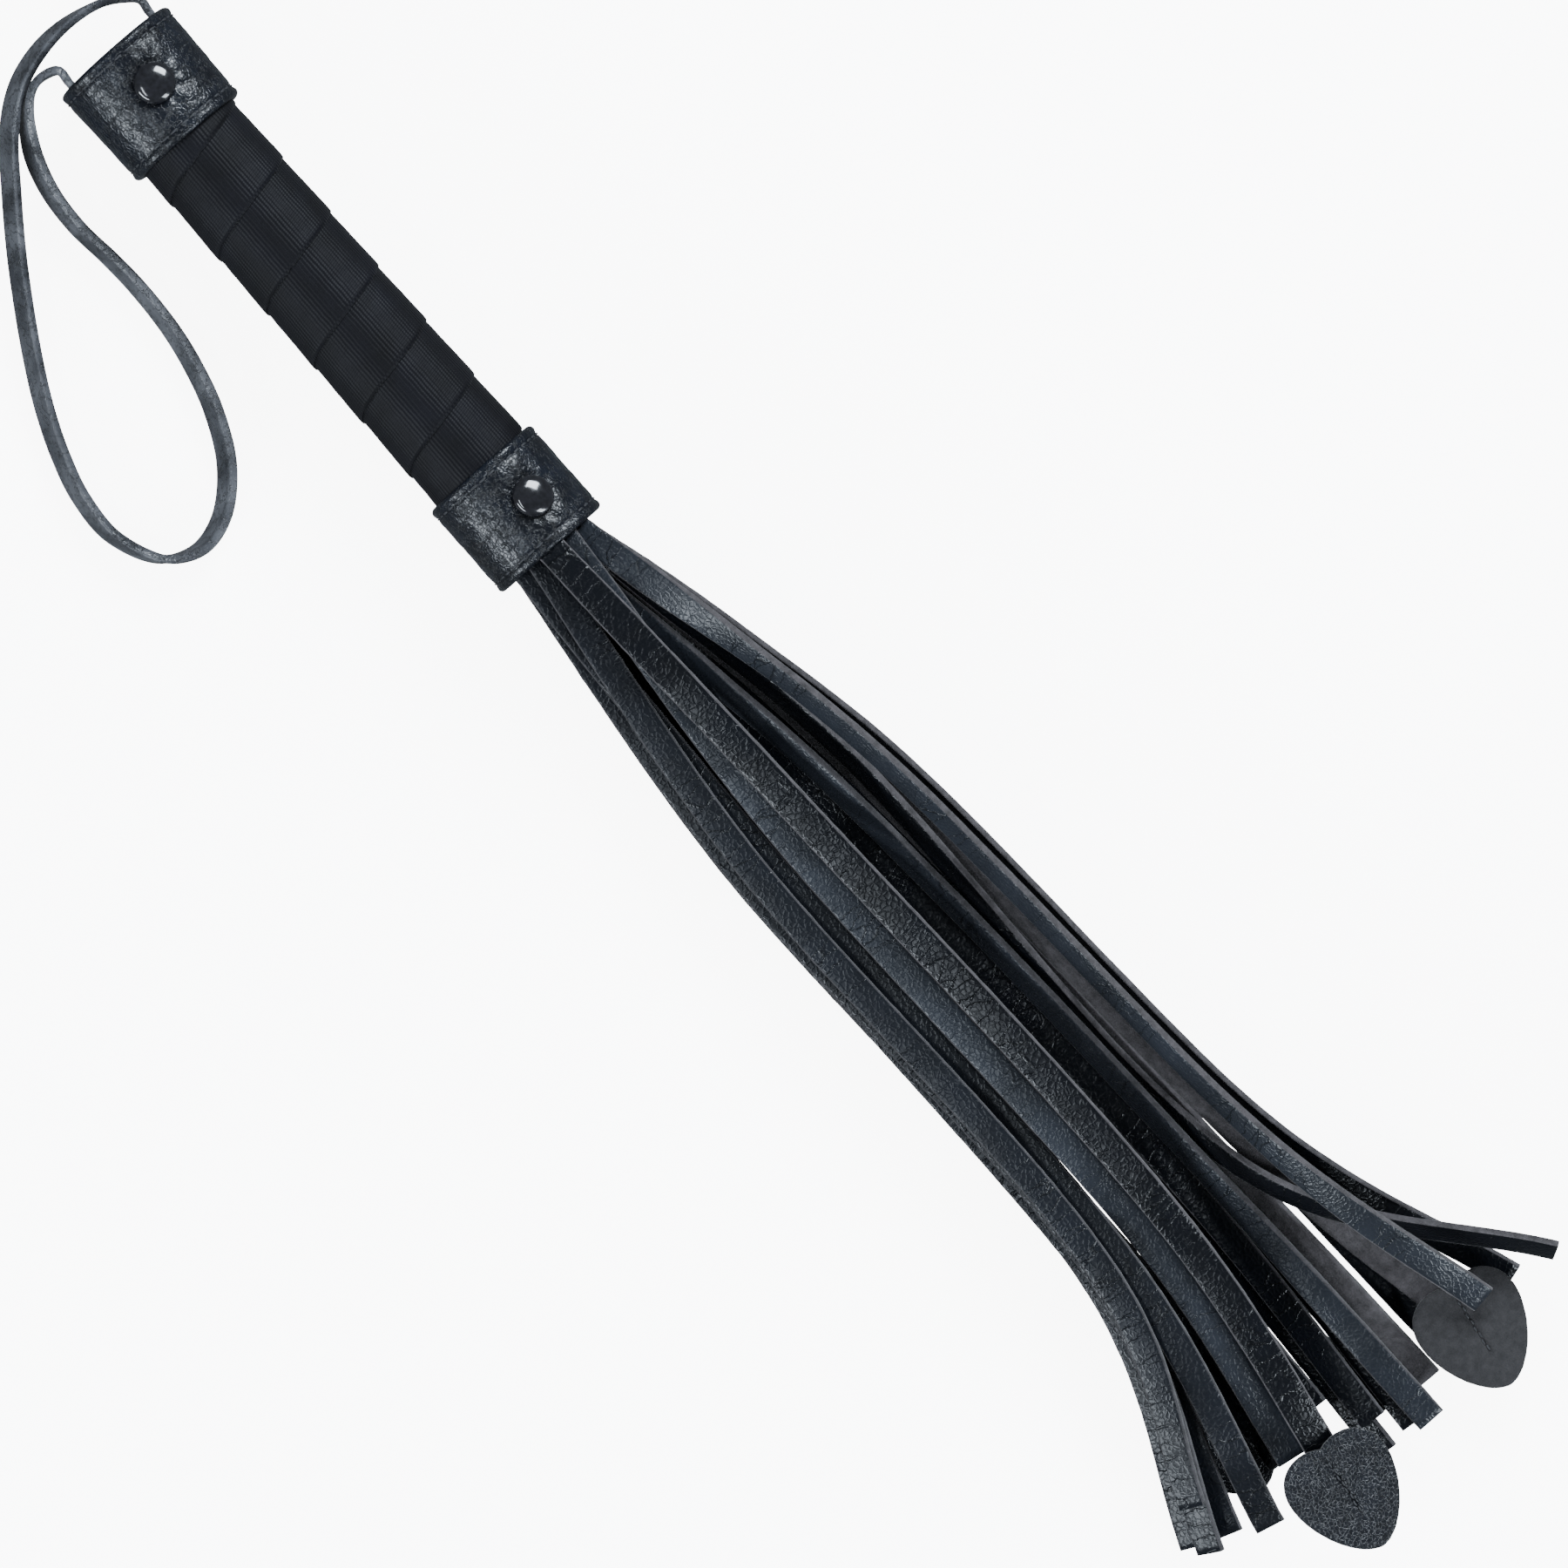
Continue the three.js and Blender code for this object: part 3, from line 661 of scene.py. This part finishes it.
HANDLE_LENGTH = 156.3
CUFF_INNER_RADIUS = 14.12
CUFF_EDGE_RADIUS = 1.1
CUFF_EDGE_STEPS = 7
CUFF_STEPS_ALONG = 64
CUFF_STEPS_ROUND = 240
CUFF_SEAM_ANGLE = math.radians(250)
STITCH_INSET = 2.7
STITCH_PITCH = 2.9
STITCH_DIP = 0.28
DIMPLE_DEPTH = 0.5
DIMPLE_RADIUS = 4.2
DIMPLE_SLOPE = 1.6
PUCKER_COUNT = 11
PUCKER_HEIGHT = 0.14
PUCKER_RADIUS = 7.0
PUCKER_WIDTH = 2.2
RIVET_RADIUS = 5.0
RIVET_POST_RADIUS = 1.5
RIVET_POST_START = 6.0
RIVET_SUNK = 0.25
RIVET_DOME_HEIGHT = 1.85
RIVET_DOME_STEPS = 14
RIVET_STEPS_ROUND = 72
BUTT_RIVET = {"node": "butt_rivet", "x": 12.8, "tilt": 9, "surface": 16.3}
LOWER_RIVET = {"node": "lower_rivet", "x": 143.9, "tilt": 19, "surface": 15.6}


def bell(distance, width):
    return math.exp(-(distance / width) ** 2)


def half_turn(angle):
    """An angle brought between minus and plus half a turn."""
    return (angle + math.pi) % (2 * math.pi) - math.pi


def cuff_edge(x, inward, radius):
    """A cuff's rounded edge, from its face to its end. inward is 1 at its first end and -1 at its last."""
    points = []
    for step in range(1, CUFF_EDGE_STEPS + 1):
        angle = math.pi / 2 * step / CUFF_EDGE_STEPS
        in_from_end = inward * CUFF_EDGE_RADIUS * (1 - math.sin(angle))
        points.append((x + in_from_end, radius - CUFF_EDGE_RADIUS * (1 - math.cos(angle))))
    return points


def make_cuff(node, start, end, first_radius, last_radius, rivet):
    """A wrapped leather cuff: turned edges, crinkled face, a dimple round its rivet."""
    face = []
    for step in range(CUFF_STEPS_ALONG + 1):
        share = step / CUFF_STEPS_ALONG
        x = start + CUFF_EDGE_RADIUS + (end - start - 2 * CUFF_EDGE_RADIUS) * share
        face.append((x, first_radius + (last_radius - first_radius) * share))
    first_edge = cuff_edge(start, 1, first_radius)[::-1]
    last_edge = cuff_edge(end, -1, last_radius)
    first_inside = (start + 0.1, CUFF_INNER_RADIUS)
    last_inside = (end - 0.1, CUFF_INNER_RADIUS)
    profile = [first_inside, *first_edge, *face, *last_edge, last_inside]
    rivet_angle = math.pi / 2 - math.radians(rivet["tilt"])

    def radius_at(x, radius, angle):
        if radius < CUFF_INNER_RADIUS + 0.3:
            return radius
        from_rim = min(x - start, end - x)
        fade = min(1.0, from_rim / 1.6 + 0.25)
        spot = (x, radius * math.cos(angle), radius * math.sin(angle))
        crinkle = 0.12 * rough(spot, 0.32, 1) + 0.06 * rough(spot, 0.8, 5) - 0.08 * abs(rough(spot, 0.5, 9))
        stitch_dip = -STITCH_DIP * bell(from_rim - STITCH_INSET, 0.55)
        turned_edge = 0.16 * bell(from_rim - 1.2, 0.9)
        around = half_turn(angle - rivet_angle) * radius
        away = math.hypot(x - rivet["x"], around)
        dimple = -DIMPLE_DEPTH * bell(max(0.0, away - DIMPLE_RADIUS), DIMPLE_SLOPE)
        bearing = math.atan2(around, x - rivet["x"])
        pucker = PUCKER_HEIGHT * math.sin(PUCKER_COUNT * bearing + 3 * rough(spot, 0.15, 2))
        pucker *= bell(away - PUCKER_RADIUS, PUCKER_WIDTH)
        from_seam = half_turn(angle - CUFF_SEAM_ANGLE) * radius
        seam = 0.5 * math.exp(-from_seam / 3.0) if from_seam > 0 else -0.35 * math.exp(from_seam / 0.5)
        return radius + fade * (crinkle + pucker) + stitch_dip + turned_edge + dimple + 0.8 * seam

    piece = turned(node + "_leather", profile, CUFF_STEPS_ROUND, "cuff", radius_at)
    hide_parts(node)
    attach(piece, "handle")
    make_cuff_stitches(node, start, end, first_radius, last_radius)


def thread_bead(vertices, faces, centre, along, out, half_length, half_width):
    """One stitch: a short rounded bead of thread."""
    side = along.cross(out)
    base = len(vertices)
    rings, around = 7, 8
    for ring in range(rings):
        t = -1 + 2 * ring / (rings - 1)
        girth = max(0.05, math.sqrt(max(0.0, 1 - t * t * 0.96)))
        for step in range(around):
            angle = 2 * math.pi * step / around
            twist = 1 + 0.12 * math.cos(2 * angle + 5 * t)
            spot = centre + along * (half_length * t)
            spot += (out * math.cos(angle) + side * math.sin(angle)) * half_width * girth * twist
            vertices.append(place(spot))
    faces += [tuple(base + i for i in face) for face in loop_faces(rings, around)]
    faces.append(tuple(base + i for i in range(around))[::-1])
    faces.append(tuple(base + (rings - 1) * around + i for i in range(around)))


def make_cuff_stitches(node, start, end, first_radius, last_radius):
    vertices, faces = [], []
    for x, radius in ((start + STITCH_INSET, first_radius), (end - STITCH_INSET, last_radius)):
        count = round(2 * math.pi * radius / STITCH_PITCH)
        for step in range(count):
            angle = 2 * math.pi * step / count + 0.03 * rough((step, x, 0), 0.7)
            out = Vector((0, math.cos(angle), math.sin(angle)))
            along = Vector((0, -math.sin(angle), math.cos(angle)))
            centre = out * (radius - 0.22) + Vector((x, 0, AXIS_Z))
            thread_bead(vertices, faces, centre, along, out, 1.05, 0.3)
    piece = add_mesh(node + "_stitches", vertices, faces, ["thread"])
    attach(piece, "handle")


def make_rivet(rivet):
    """A domed rivet cap with a thin rolled rim, on its post."""
    base = rivet["surface"] - RIVET_SUNK
    outline = [(0, RIVET_POST_START), (RIVET_POST_RADIUS, RIVET_POST_START), (RIVET_POST_RADIUS, base),
               (RIVET_RADIUS - 0.35, base), (RIVET_RADIUS, base + 0.25), (RIVET_RADIUS + 0.02, base + 0.5),
               (RIVET_RADIUS - 0.1, base + 0.72)]
    for step in range(1, RIVET_DOME_STEPS + 1):
        angle = math.pi / 2 * step / RIVET_DOME_STEPS
        height = base + 0.75 + RIVET_DOME_HEIGHT * math.sin(angle)
        outline.append(((RIVET_RADIUS - 0.18) * math.cos(angle), height))
    steps = RIVET_STEPS_ROUND
    turn = Matrix.Rotation(-math.radians(rivet["tilt"]), 3, "X")
    vertices = []
    for step in range(steps):
        angle = 2 * math.pi * step / steps
        for radius, height in outline:
            spot = turn @ Vector((radius * math.cos(angle), radius * math.sin(angle), height))
            vertices.append(place(spot + Vector((rivet["x"], 0, AXIS_Z))))
    sides = len(outline)
    faces = []
    for step in range(steps):
        after = (step + 1) % steps
        for side in range(sides - 1):
            a, b = step * sides + side, step * sides + side + 1
            faces.append((a, after * sides + side, after * sides + side + 1, b))
    piece = add_mesh(rivet["node"] + "_cap", vertices, faces, ["rivet"])
    merge_points(piece)
    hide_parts(rivet["node"])
    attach(piece, "handle")


def merge_points(piece):
    work = bmesh.new()
    work.from_mesh(piece.data)
    bmesh.ops.remove_doubles(work, verts=work.verts, dist=1e-6)
    bmesh.ops.recalc_face_normals(work, faces=work.faces)
    work.to_mesh(piece.data)
    work.free()
    piece.data.polygons.foreach_set("use_smooth", [True] * len(piece.data.polygons))


# ---------------------------------------------------------------- tails

TAIL_THICKNESS = 1.6
TAIL_GAP = 0.65
TAIL_ROOT_X = 156.6
TAIL_MOUTH_X = 150.2
TAIL_SLOT_PITCH = 7.9
TAIL_NEAR_X = TAIL_ROOT_X + 80
TAIL_FAR_X = 378
TABLE_CLEARANCE = 0.2
SETTLE_LENGTH = 45
ROLL_LENGTH = 60
ROLL_TIP_START = 0.7
ROOT_NARROWING = 0.08
ROOT_NARROWING_LENGTH = 25
SMOOTHING = 14
HEART_HALF_WIDTH = 13.4
HEART_WIDEST = 0.3
HEART_MIDDLE = 0.42
HEART_CREASE_START = 1.5
HEART_CREASE_END = 0.66
HEART_STITCHES = 9
HEART_STITCHES_END = 0.62
HEART_RINGS = (0.08, 0.16, 0.24, 0.32, 0.4, 0.48, 0.56, 0.64, 0.72, 0.8, 0.87, 0.93, 0.97, 0.99)
TAIL_STEP = 2


def tail(name, width, near, far, tip, roll, look, back_up=False, heart=None):
    return {"name": name, "width": width, "near": near, "far": far, "tip": tip, "roll": roll,
            "look": look, "back_up": back_up, "heart": heart}


# The tails from the bottom of the pile to the top, in the rows in which they leave the cuff:
# name, width, how far sideways each lies a third and two thirds along, its tip, its roll in
# degrees in the middle and at the tip, its tone (bright is the leather with painted light, mid
# with painted half shade, dark with painted shade), and which side of the leather shows.
TAIL_ROWS = [
    [tail("tail_01", 6.8, 4, 9, (441.7, 12.5), (8, 20), "dark")],
    [tail("tail_02", 6.8, -11.5, -12.5, (433.5, -17.8), (10, 25), "dark"),
     tail("tail_03", 6.8, 22, 34, (441.1, 41), (14, 28), "dark")],
    [tail("tail_04", 6.8, -17, -19, (435, -42.5), (10, 30), "mid"),
     tail("tail_05", 6.8, -8, -11, (421, -20.3), (8, 0), "dark",
          heart=("heart_tip_1", (408, -20.5), (435, -20))),
     tail("tail_06", 6.8, 27, 38, (437, 57), (56, 22), "dark")],
    [tail("tail_07", 6.8, -16, -18, (409, -25.5), (10, 20), "mid"),
     tail("tail_08", 6.8, 15.5, 19.5, (447.1, 16.5), (8, 20), "dark"),
     tail("tail_09", 6.8, 23.5, 31.5, (438.8, 34), (52, 32), "mid")],
    [tail("tail_10", 6.8, -14.5, -16, (438.4, -34.2), (10, 20), "mid"),
     tail("tail_11", 6.8, 4, 9.5, (449.1, 6.7), (10, 30), "dark"),
     tail("tail_12", 6.8, 18.5, 24.5, (443, 26), (54, 25), "dark", back_up=True)],
    [tail("tail_13", 6.8, -12, -9.5, (433.7, -13.5), (10, 20), "dark"),
     tail("tail_14", 6.8, 1, 2.5, (430, 1), (10, 15), "dark"),
     tail("tail_15", 6.8, 22, 31, (441, 42), (48, 0), "dark", back_up=True,
          heart=("heart_tip_2", (428, 44), (455, 39.6)))],
    [tail("tail_16", 7, -16.5, -17, (437.5, -40), (10, 34), "mid"),
     tail("tail_17", 6.8, 8.5, 13, (440, 9.5), (14, 16), "dark"),
     tail("tail_18", 6.8, 20, 27, (437.5, 68.5), (56, 56), "dark")],
    [tail("tail_19", 7.2, -10.5, -11, (443.6, -25.6), (10, 10), "mid"),
     tail("tail_20", 7.2, 12.5, 19, (450, 20), (52, 8), "bright"),
     tail("tail_21", 7, 24.5, 34.5, (435, 48), (57, 14), "bright")],
    [tail("tail_22", 6.8, -14, -16.5, (427, -36.5), (8, 28), "mid"),
     tail("tail_23", 7.4, -3, -2.5, (434.5, -11), (10, 4), "bright")],
    [tail("tail_24", 7.8, 2.8, 4.5, (449, -6.3), (14, 0), "dark",
          heart=("heart_tip_3", (435.4, -4.4), (462.4, -8.2)))],
]
LAYER_OF_ROW = ["tails_lower"] * 4 + ["tails_middle"] * 4 + ["tails_upper", "heart_tail"]

# The pile is a map of the height reached so far, in narrow cells over the table.
CELL_Y = 0.2
MAP_LOW_X, MAP_LOW_Y = 140, -120
pile = np.full((360, 1300), -1.0)


def smooth_step(t):
    held = min(1.0, max(0.0, t))
    return held * held * (3 - 2 * held)


def footprint(spot):
    """Across a strip at a spot: how high each point rises, and the cells it stands over."""
    x, y, across, roll, half_width = spot
    reach = half_width + TAIL_THICKNESS / 2 * abs(math.tan(roll))
    u = np.linspace(-reach, reach, math.ceil(2 * reach / CELL_Y) + 1)
    columns = np.floor(x + across[0] * u * math.cos(roll)).astype(int) - MAP_LOW_X
    rows = np.floor((y + across[1] * u * math.cos(roll)) / CELL_Y + 0.5).astype(int) - int(MAP_LOW_Y / CELL_Y)
    return u * math.sin(roll), columns, rows


def height_needed(spot):
    rise, columns, rows = footprint(spot)
    under = np.maximum(pile[columns, rows], pile[columns + 1, rows])
    top = np.where(under >= 0, np.maximum(TABLE_CLEARANCE, under + TAIL_GAP), TABLE_CLEARANCE)
    return float((top + TAIL_THICKNESS / 2 / math.cos(spot[3]) - rise).max())


def add_to_pile(spot, height):
    rise, columns, rows = footprint(spot)
    top = height + rise + TAIL_THICKNESS / 2 / math.cos(spot[3])
    for shift in (0, 1):
        np.maximum.at(pile, (columns + shift, rows), top)


def near(values, at, reach):
    return values[max(0, at - reach):at + reach + 1]


def smooth_heights(need):
    """Heights never below what each spot needs and free of steps, with the start kept."""
    envelope = [max(near(need, at, min(SMOOTHING, at))) for at in range(len(need))]
    smoothed = []
    for at in range(len(need)):
        around = near(envelope, at, min(SMOOTHING, at) // 2)
        smoothed.append(sum(around) / len(around))
    return smoothed


STACK_CENTRE = TABLE_CLEARANCE + TAIL_THICKNESS / 2 + (len(TAIL_ROWS) - 1) / 2 * (TAIL_THICKNESS + TAIL_GAP)


def mouth_rise(x):
    return (AXIS_Z - STACK_CENTRE) * (1 - smooth_step((x - TAIL_ROOT_X) / SETTLE_LENGTH))


def narrowing_at(distance):
    return 1 - ROOT_NARROWING * (1 - smooth_step(distance / ROOT_NARROWING_LENGTH))


def tail_spots(one, slot_y):
    """Every millimetre along a tail: place, direction across, roll in radians, half width."""
    corners = [Vector((TAIL_ROOT_X, slot_y, 0)), Vector((TAIL_NEAR_X, one["near"], 0)),
               Vector((TAIL_FAR_X, one["far"], 0)), Vector((*one["tip"], 0))]
    line = smooth_line(corners, 1.0)
    spots = []
    last = len(line) - 1
    for at, point in enumerate(line):
        along = (line[min(last, at + 1)] - line[max(0, at - 1)]).normalized()
        middle_roll = one["roll"][0] * smooth_step(at / ROLL_LENGTH)
        tip_share = smooth_step((at / last - ROLL_TIP_START) / (1 - ROLL_TIP_START))
        roll = math.radians(middle_roll + (one["roll"][1] - middle_roll) * tip_share)
        spots.append((point.x, point.y, (-along.y, along.x), roll, one["width"] / 2 * narrowing_at(at)))
    return spots


def make_tail(one, slot_y, body, number):
    spots = tail_spots(one, slot_y)
    heights = smooth_heights([height_needed(spot) for spot in spots])
    for spot, height in zip(spots, heights):
        add_to_pile(spot, height)
    chosen = list(range(0, len(spots), TAIL_STEP))
    points = [Vector((spots[at][0], spots[at][1], heights[at] + mouth_rise(spots[at][0]))) for at in chosen]
    rolls = [spots[at][3] for at in chosen]
    levels = [Vector((*spots[at][2], 0)) for at in chosen]
    widths = [narrowing_at(at) for at in chosen]
    levels[0] = Vector((0, 1, 0))
    for back in (2.0, 4.0, TAIL_ROOT_X - TAIL_MOUTH_X):
        points.insert(0, Vector((TAIL_ROOT_X - back, points[0].y, points[0].z)))
        rolls.insert(0, 0.0)
        levels.insert(0, Vector((0, 1, 0)))
        widths.insert(0, widths[0])
    half = one["width"] / 2

    def lift_at(walked, u):
        ripple = 0.1 * rough((walked, number * 9, u * 0.4), 0.06)
        cup = -0.16 * (u / half) ** 2 * (1 + rough((walked, number * 5, 0), 0.02))
        return ripple + cup + 0.08

    def pick_look(first, second):
        on_face = first[2] == 0 and second[2] == 0
        grain_side = first[1] * (-1 if one["back_up"] else 1) > 0
        return 0 if on_face and grain_side else 1

    def across(index, along):
        return Matrix.Rotation(rolls[index], 3, along) @ levels[index]

    looks = [one["look"], "suede" if number % 3 == 0 else "suede_dark"]
    stations = frames_along(points, across)
    profile = strip_profile(half, TAIL_THICKNESS / 2, 8)
    piece = sweep(one["name"] + "_leather", stations, profile, looks, pick_look, lambda index: widths[index],
                  uv_row=number * 1.37, fuzz=0.2, lift_at=lift_at)
    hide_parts(one["name"])
    place((TAIL_MOUTH_X, 0, AXIS_Z))
    place((TAIL_ROOT_X + 12, 0, AXIS_Z))
    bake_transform(piece)
    if one["heart"]:
        make_heart(one["heart"], body, one["back_up"])


def bezier(p0, p1, p2, p3, steps):
    points = []
    for step in range(steps):
        t = step / steps
        shares = ((1 - t) ** 3, 3 * t * (1 - t) ** 2, 3 * t * t * (1 - t), t ** 3)
        points.append(tuple(sum(s * p[axis] for s, p in zip(shares, (p0, p1, p2, p3))) for axis in range(2)))
    return points


def heart_outline(length):
    """A heart with its notch at the origin, pointing along +X, as a closed run of points."""
    half = HEART_HALF_WIDTH
    widest = length * HEART_WIDEST
    one_side = bezier((0, 0), (-length * 0.11, half * 0.4), (-length * 0.02, half * 1.02), (widest, half), 26)
    one_side += bezier((widest, half), (length * 0.62, half * 0.98), (length * 0.99, half * 0.42),
                       (length, 0), 30)
    mirrored = [(x, -y) for x, y in one_side[1:]][::-1]
    return one_side + [(length, 0)] + mirrored


def lay_heart(start, end, length):
    """The height at which a heart lies on the pile. The heart is then part of the pile."""
    across = ((start[1] - end[1]) / length, (end[0] - start[0]) / length)
    spots = []
    for at in range(-2, math.floor(length) + 1):
        past = max(0.0, (at / length - HEART_WIDEST) / (1 - HEART_WIDEST))
        half_width = HEART_HALF_WIDTH * math.sqrt(1 - past * past) + 0.5
        spots.append((start[0] + across[1] * at, start[1] - across[0] * at, across, 0.0, half_width))
    height = max(height_needed(spot) for spot in spots)
    for spot in spots:
        add_to_pile(spot, height)
    return height


def heart_surface(x, y, share, length, top):
    """A heart's upper or lower face: thinner at the rim, and creased down the middle of the top."""
    z = TAIL_THICKNESS / 2 - 0.3 * max(0.0, (share - 0.93) / 0.07) ** 2
    if not top:
        return -z
    z += 0.12 * rough((x, y, 0), 0.18, 4)
    if HEART_CREASE_START < x < length * HEART_CREASE_END:
        z -= 0.55 * bell(y, 0.55) - 0.22 * bell(abs(y) - 1.5, 0.8)
    return z


def make_heart(heart, body, flip):
    """A heart tip: rounded cut edge, a stitched crease down its upper middle."""
    node, start, end = heart
    length = math.hypot(end[0] - start[0], end[1] - start[1])
    height = lay_heart(start, end, length)
    heading = Matrix.Rotation(math.atan2(end[1] - start[1], end[0] - start[0]), 3, "Z")
    outline = heart_outline(length)
    middle = (length * HEART_MIDDLE, 0.0)

    def to_frame(x, y, z):
        return place(heading @ Vector((x, y, 0)) + Vector((start[0], start[1], height + z)))

    vertices, faces, face_looks = [], [], []
    count = len(outline)
    for top in (True, False):
        look = 0 if top != flip else 1
        base = len(vertices)
        vertices.append(to_frame(*middle, heart_surface(*middle, 0, length, top)))
        for share in HEART_RINGS:
            for outer_x, outer_y in outline:
                x = middle[0] + (outer_x - middle[0]) * share
                y = middle[1] + (outer_y - middle[1]) * share
                vertices.append(to_frame(x, y, heart_surface(x, y, share, length, top)))
        for step in range(count):
            after = (step + 1) % count
            fan = (base, base + 1 + after, base + 1 + step)
            faces.append(fan if top else fan[::-1])
            face_looks.append(look)
            for ring in range(len(HEART_RINGS) - 1):
                a, b = base + 1 + ring * count + step, base + 1 + ring * count + after
                quad = (a, b, b + count, a + count)
                faces.append(quad if top else quad[::-1])
                face_looks.append(look)
    rim = len(vertices)
    for z in (0.45, -0.45):
        for index, (outer_x, outer_y) in enumerate(outline):
            fuzz = 1 + 0.006 * rough((index, z, 1), 0.9)
            x = middle[0] + (outer_x - middle[0]) * fuzz
            y = middle[1] + (outer_y - middle[1]) * fuzz
            vertices.append(to_frame(x, y, z))
    upper = 1 + (len(HEART_RINGS) - 1) * count
    lower = upper + 1 + len(HEART_RINGS) * count
    for step in range(count):
        after = (step + 1) % count
        for a, b in ((upper, rim), (rim, rim + count), (rim + count, lower)):
            faces.append((a + step, a + after, b + after, b + step))
            face_looks.append(1)
    piece = add_mesh(node + "_leather", vertices, faces, ["heart", "heart_back"], face_looks)
    merge_points(piece)
    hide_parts(node)
    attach(piece, body)
    make_heart_stitches(node, body, heading, Vector((start[0], start[1], height + 0.5)), length)


def make_heart_stitches(node, body, heading, notch, length):
    vertices, faces = [], []
    along = heading @ Vector((1, 0, 0))
    first, last = 2.6, length * HEART_STITCHES_END
    for step in range(HEART_STITCHES):
        x = first + (last - first) * step / (HEART_STITCHES - 1)
        centre = heading @ Vector((x, 0.16 * (-1) ** step, 0)) + notch
        thread_bead(vertices, faces, centre, along, Vector((0, 0, 1)), 0.75, 0.26)
    piece = add_mesh(node + "_stitches", vertices, faces, ["thread"])
    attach(piece, body)


def make_tails():
    number = 0
    for row, body in zip(TAIL_ROWS, LAYER_OF_ROW):
        for slot, one in enumerate(row):
            number += 1
            make_tail(one, (slot - (len(row) - 1) / 2) * TAIL_SLOT_PITCH, body, number)


# ---------------------------------------------------------------- the pieces kept from the CAD

KEPT = {"handle_core": "wood", "grip_padding": "foam", "butt_disc": "end", "tail_root_roll": "suede_dark",
        "strap_end_upper": "strap", "strap_end_lower": "strap"}


def finish_kept_nodes():
    for name, look in KEPT.items():
        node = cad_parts[name]
        node.data.materials.clear()
        node.data.materials.append(LOOKS[look])


FLOOR_REACH = 6
FLOOR_GLOW = 8


def make_floor():
    """A white floor that only the camera sees, so that it lights nothing and shows in no gloss."""
    nodes = Nodes("floor")
    speck = noise_texture(nodes, object_coordinates(nodes), 60, 3)
    nodes.link(nodes.ramp(speck, [(0.3, (0.86, 0.86, 0.86)), (0.7, (0.88, 0.88, 0.88))]),
               nodes.shader.inputs["Base Color"])
    nodes.shader.inputs["Roughness"].default_value = 0.8
    nodes.shader.inputs["Emission Color"].default_value = (*WHITE, 1)
    nodes.shader.inputs["Emission Strength"].default_value = FLOOR_GLOW
    mesh = bpy.data.meshes.new("floor")
    corners = [(x * FLOOR_REACH, y * FLOOR_REACH, 0) for x, y in ((-1, -1), (1, -1), (1, 1), (-1, 1))]
    mesh.from_pydata(corners, [], [(0, 1, 2, 3)])
    mesh.materials.append(nodes.material)
    floor = bpy.data.objects.new("floor", mesh)
    floor.visible_diffuse = False
    floor.visible_glossy = False
    bpy.context.collection.objects.link(floor)


make_camera()
make_wrist_loop()
make_grip()
make_cuff("butt_cuff", 0, 27, 16.4, 15.8, BUTT_RIVET)
make_cuff("lower_cuff", 130.6, HANDLE_LENGTH, 15.6, 15.6, LOWER_RIVET)
make_rivet(BUTT_RIVET)
make_rivet(LOWER_RIVET)
make_tails()
finish_kept_nodes()
make_floor()
make_light()
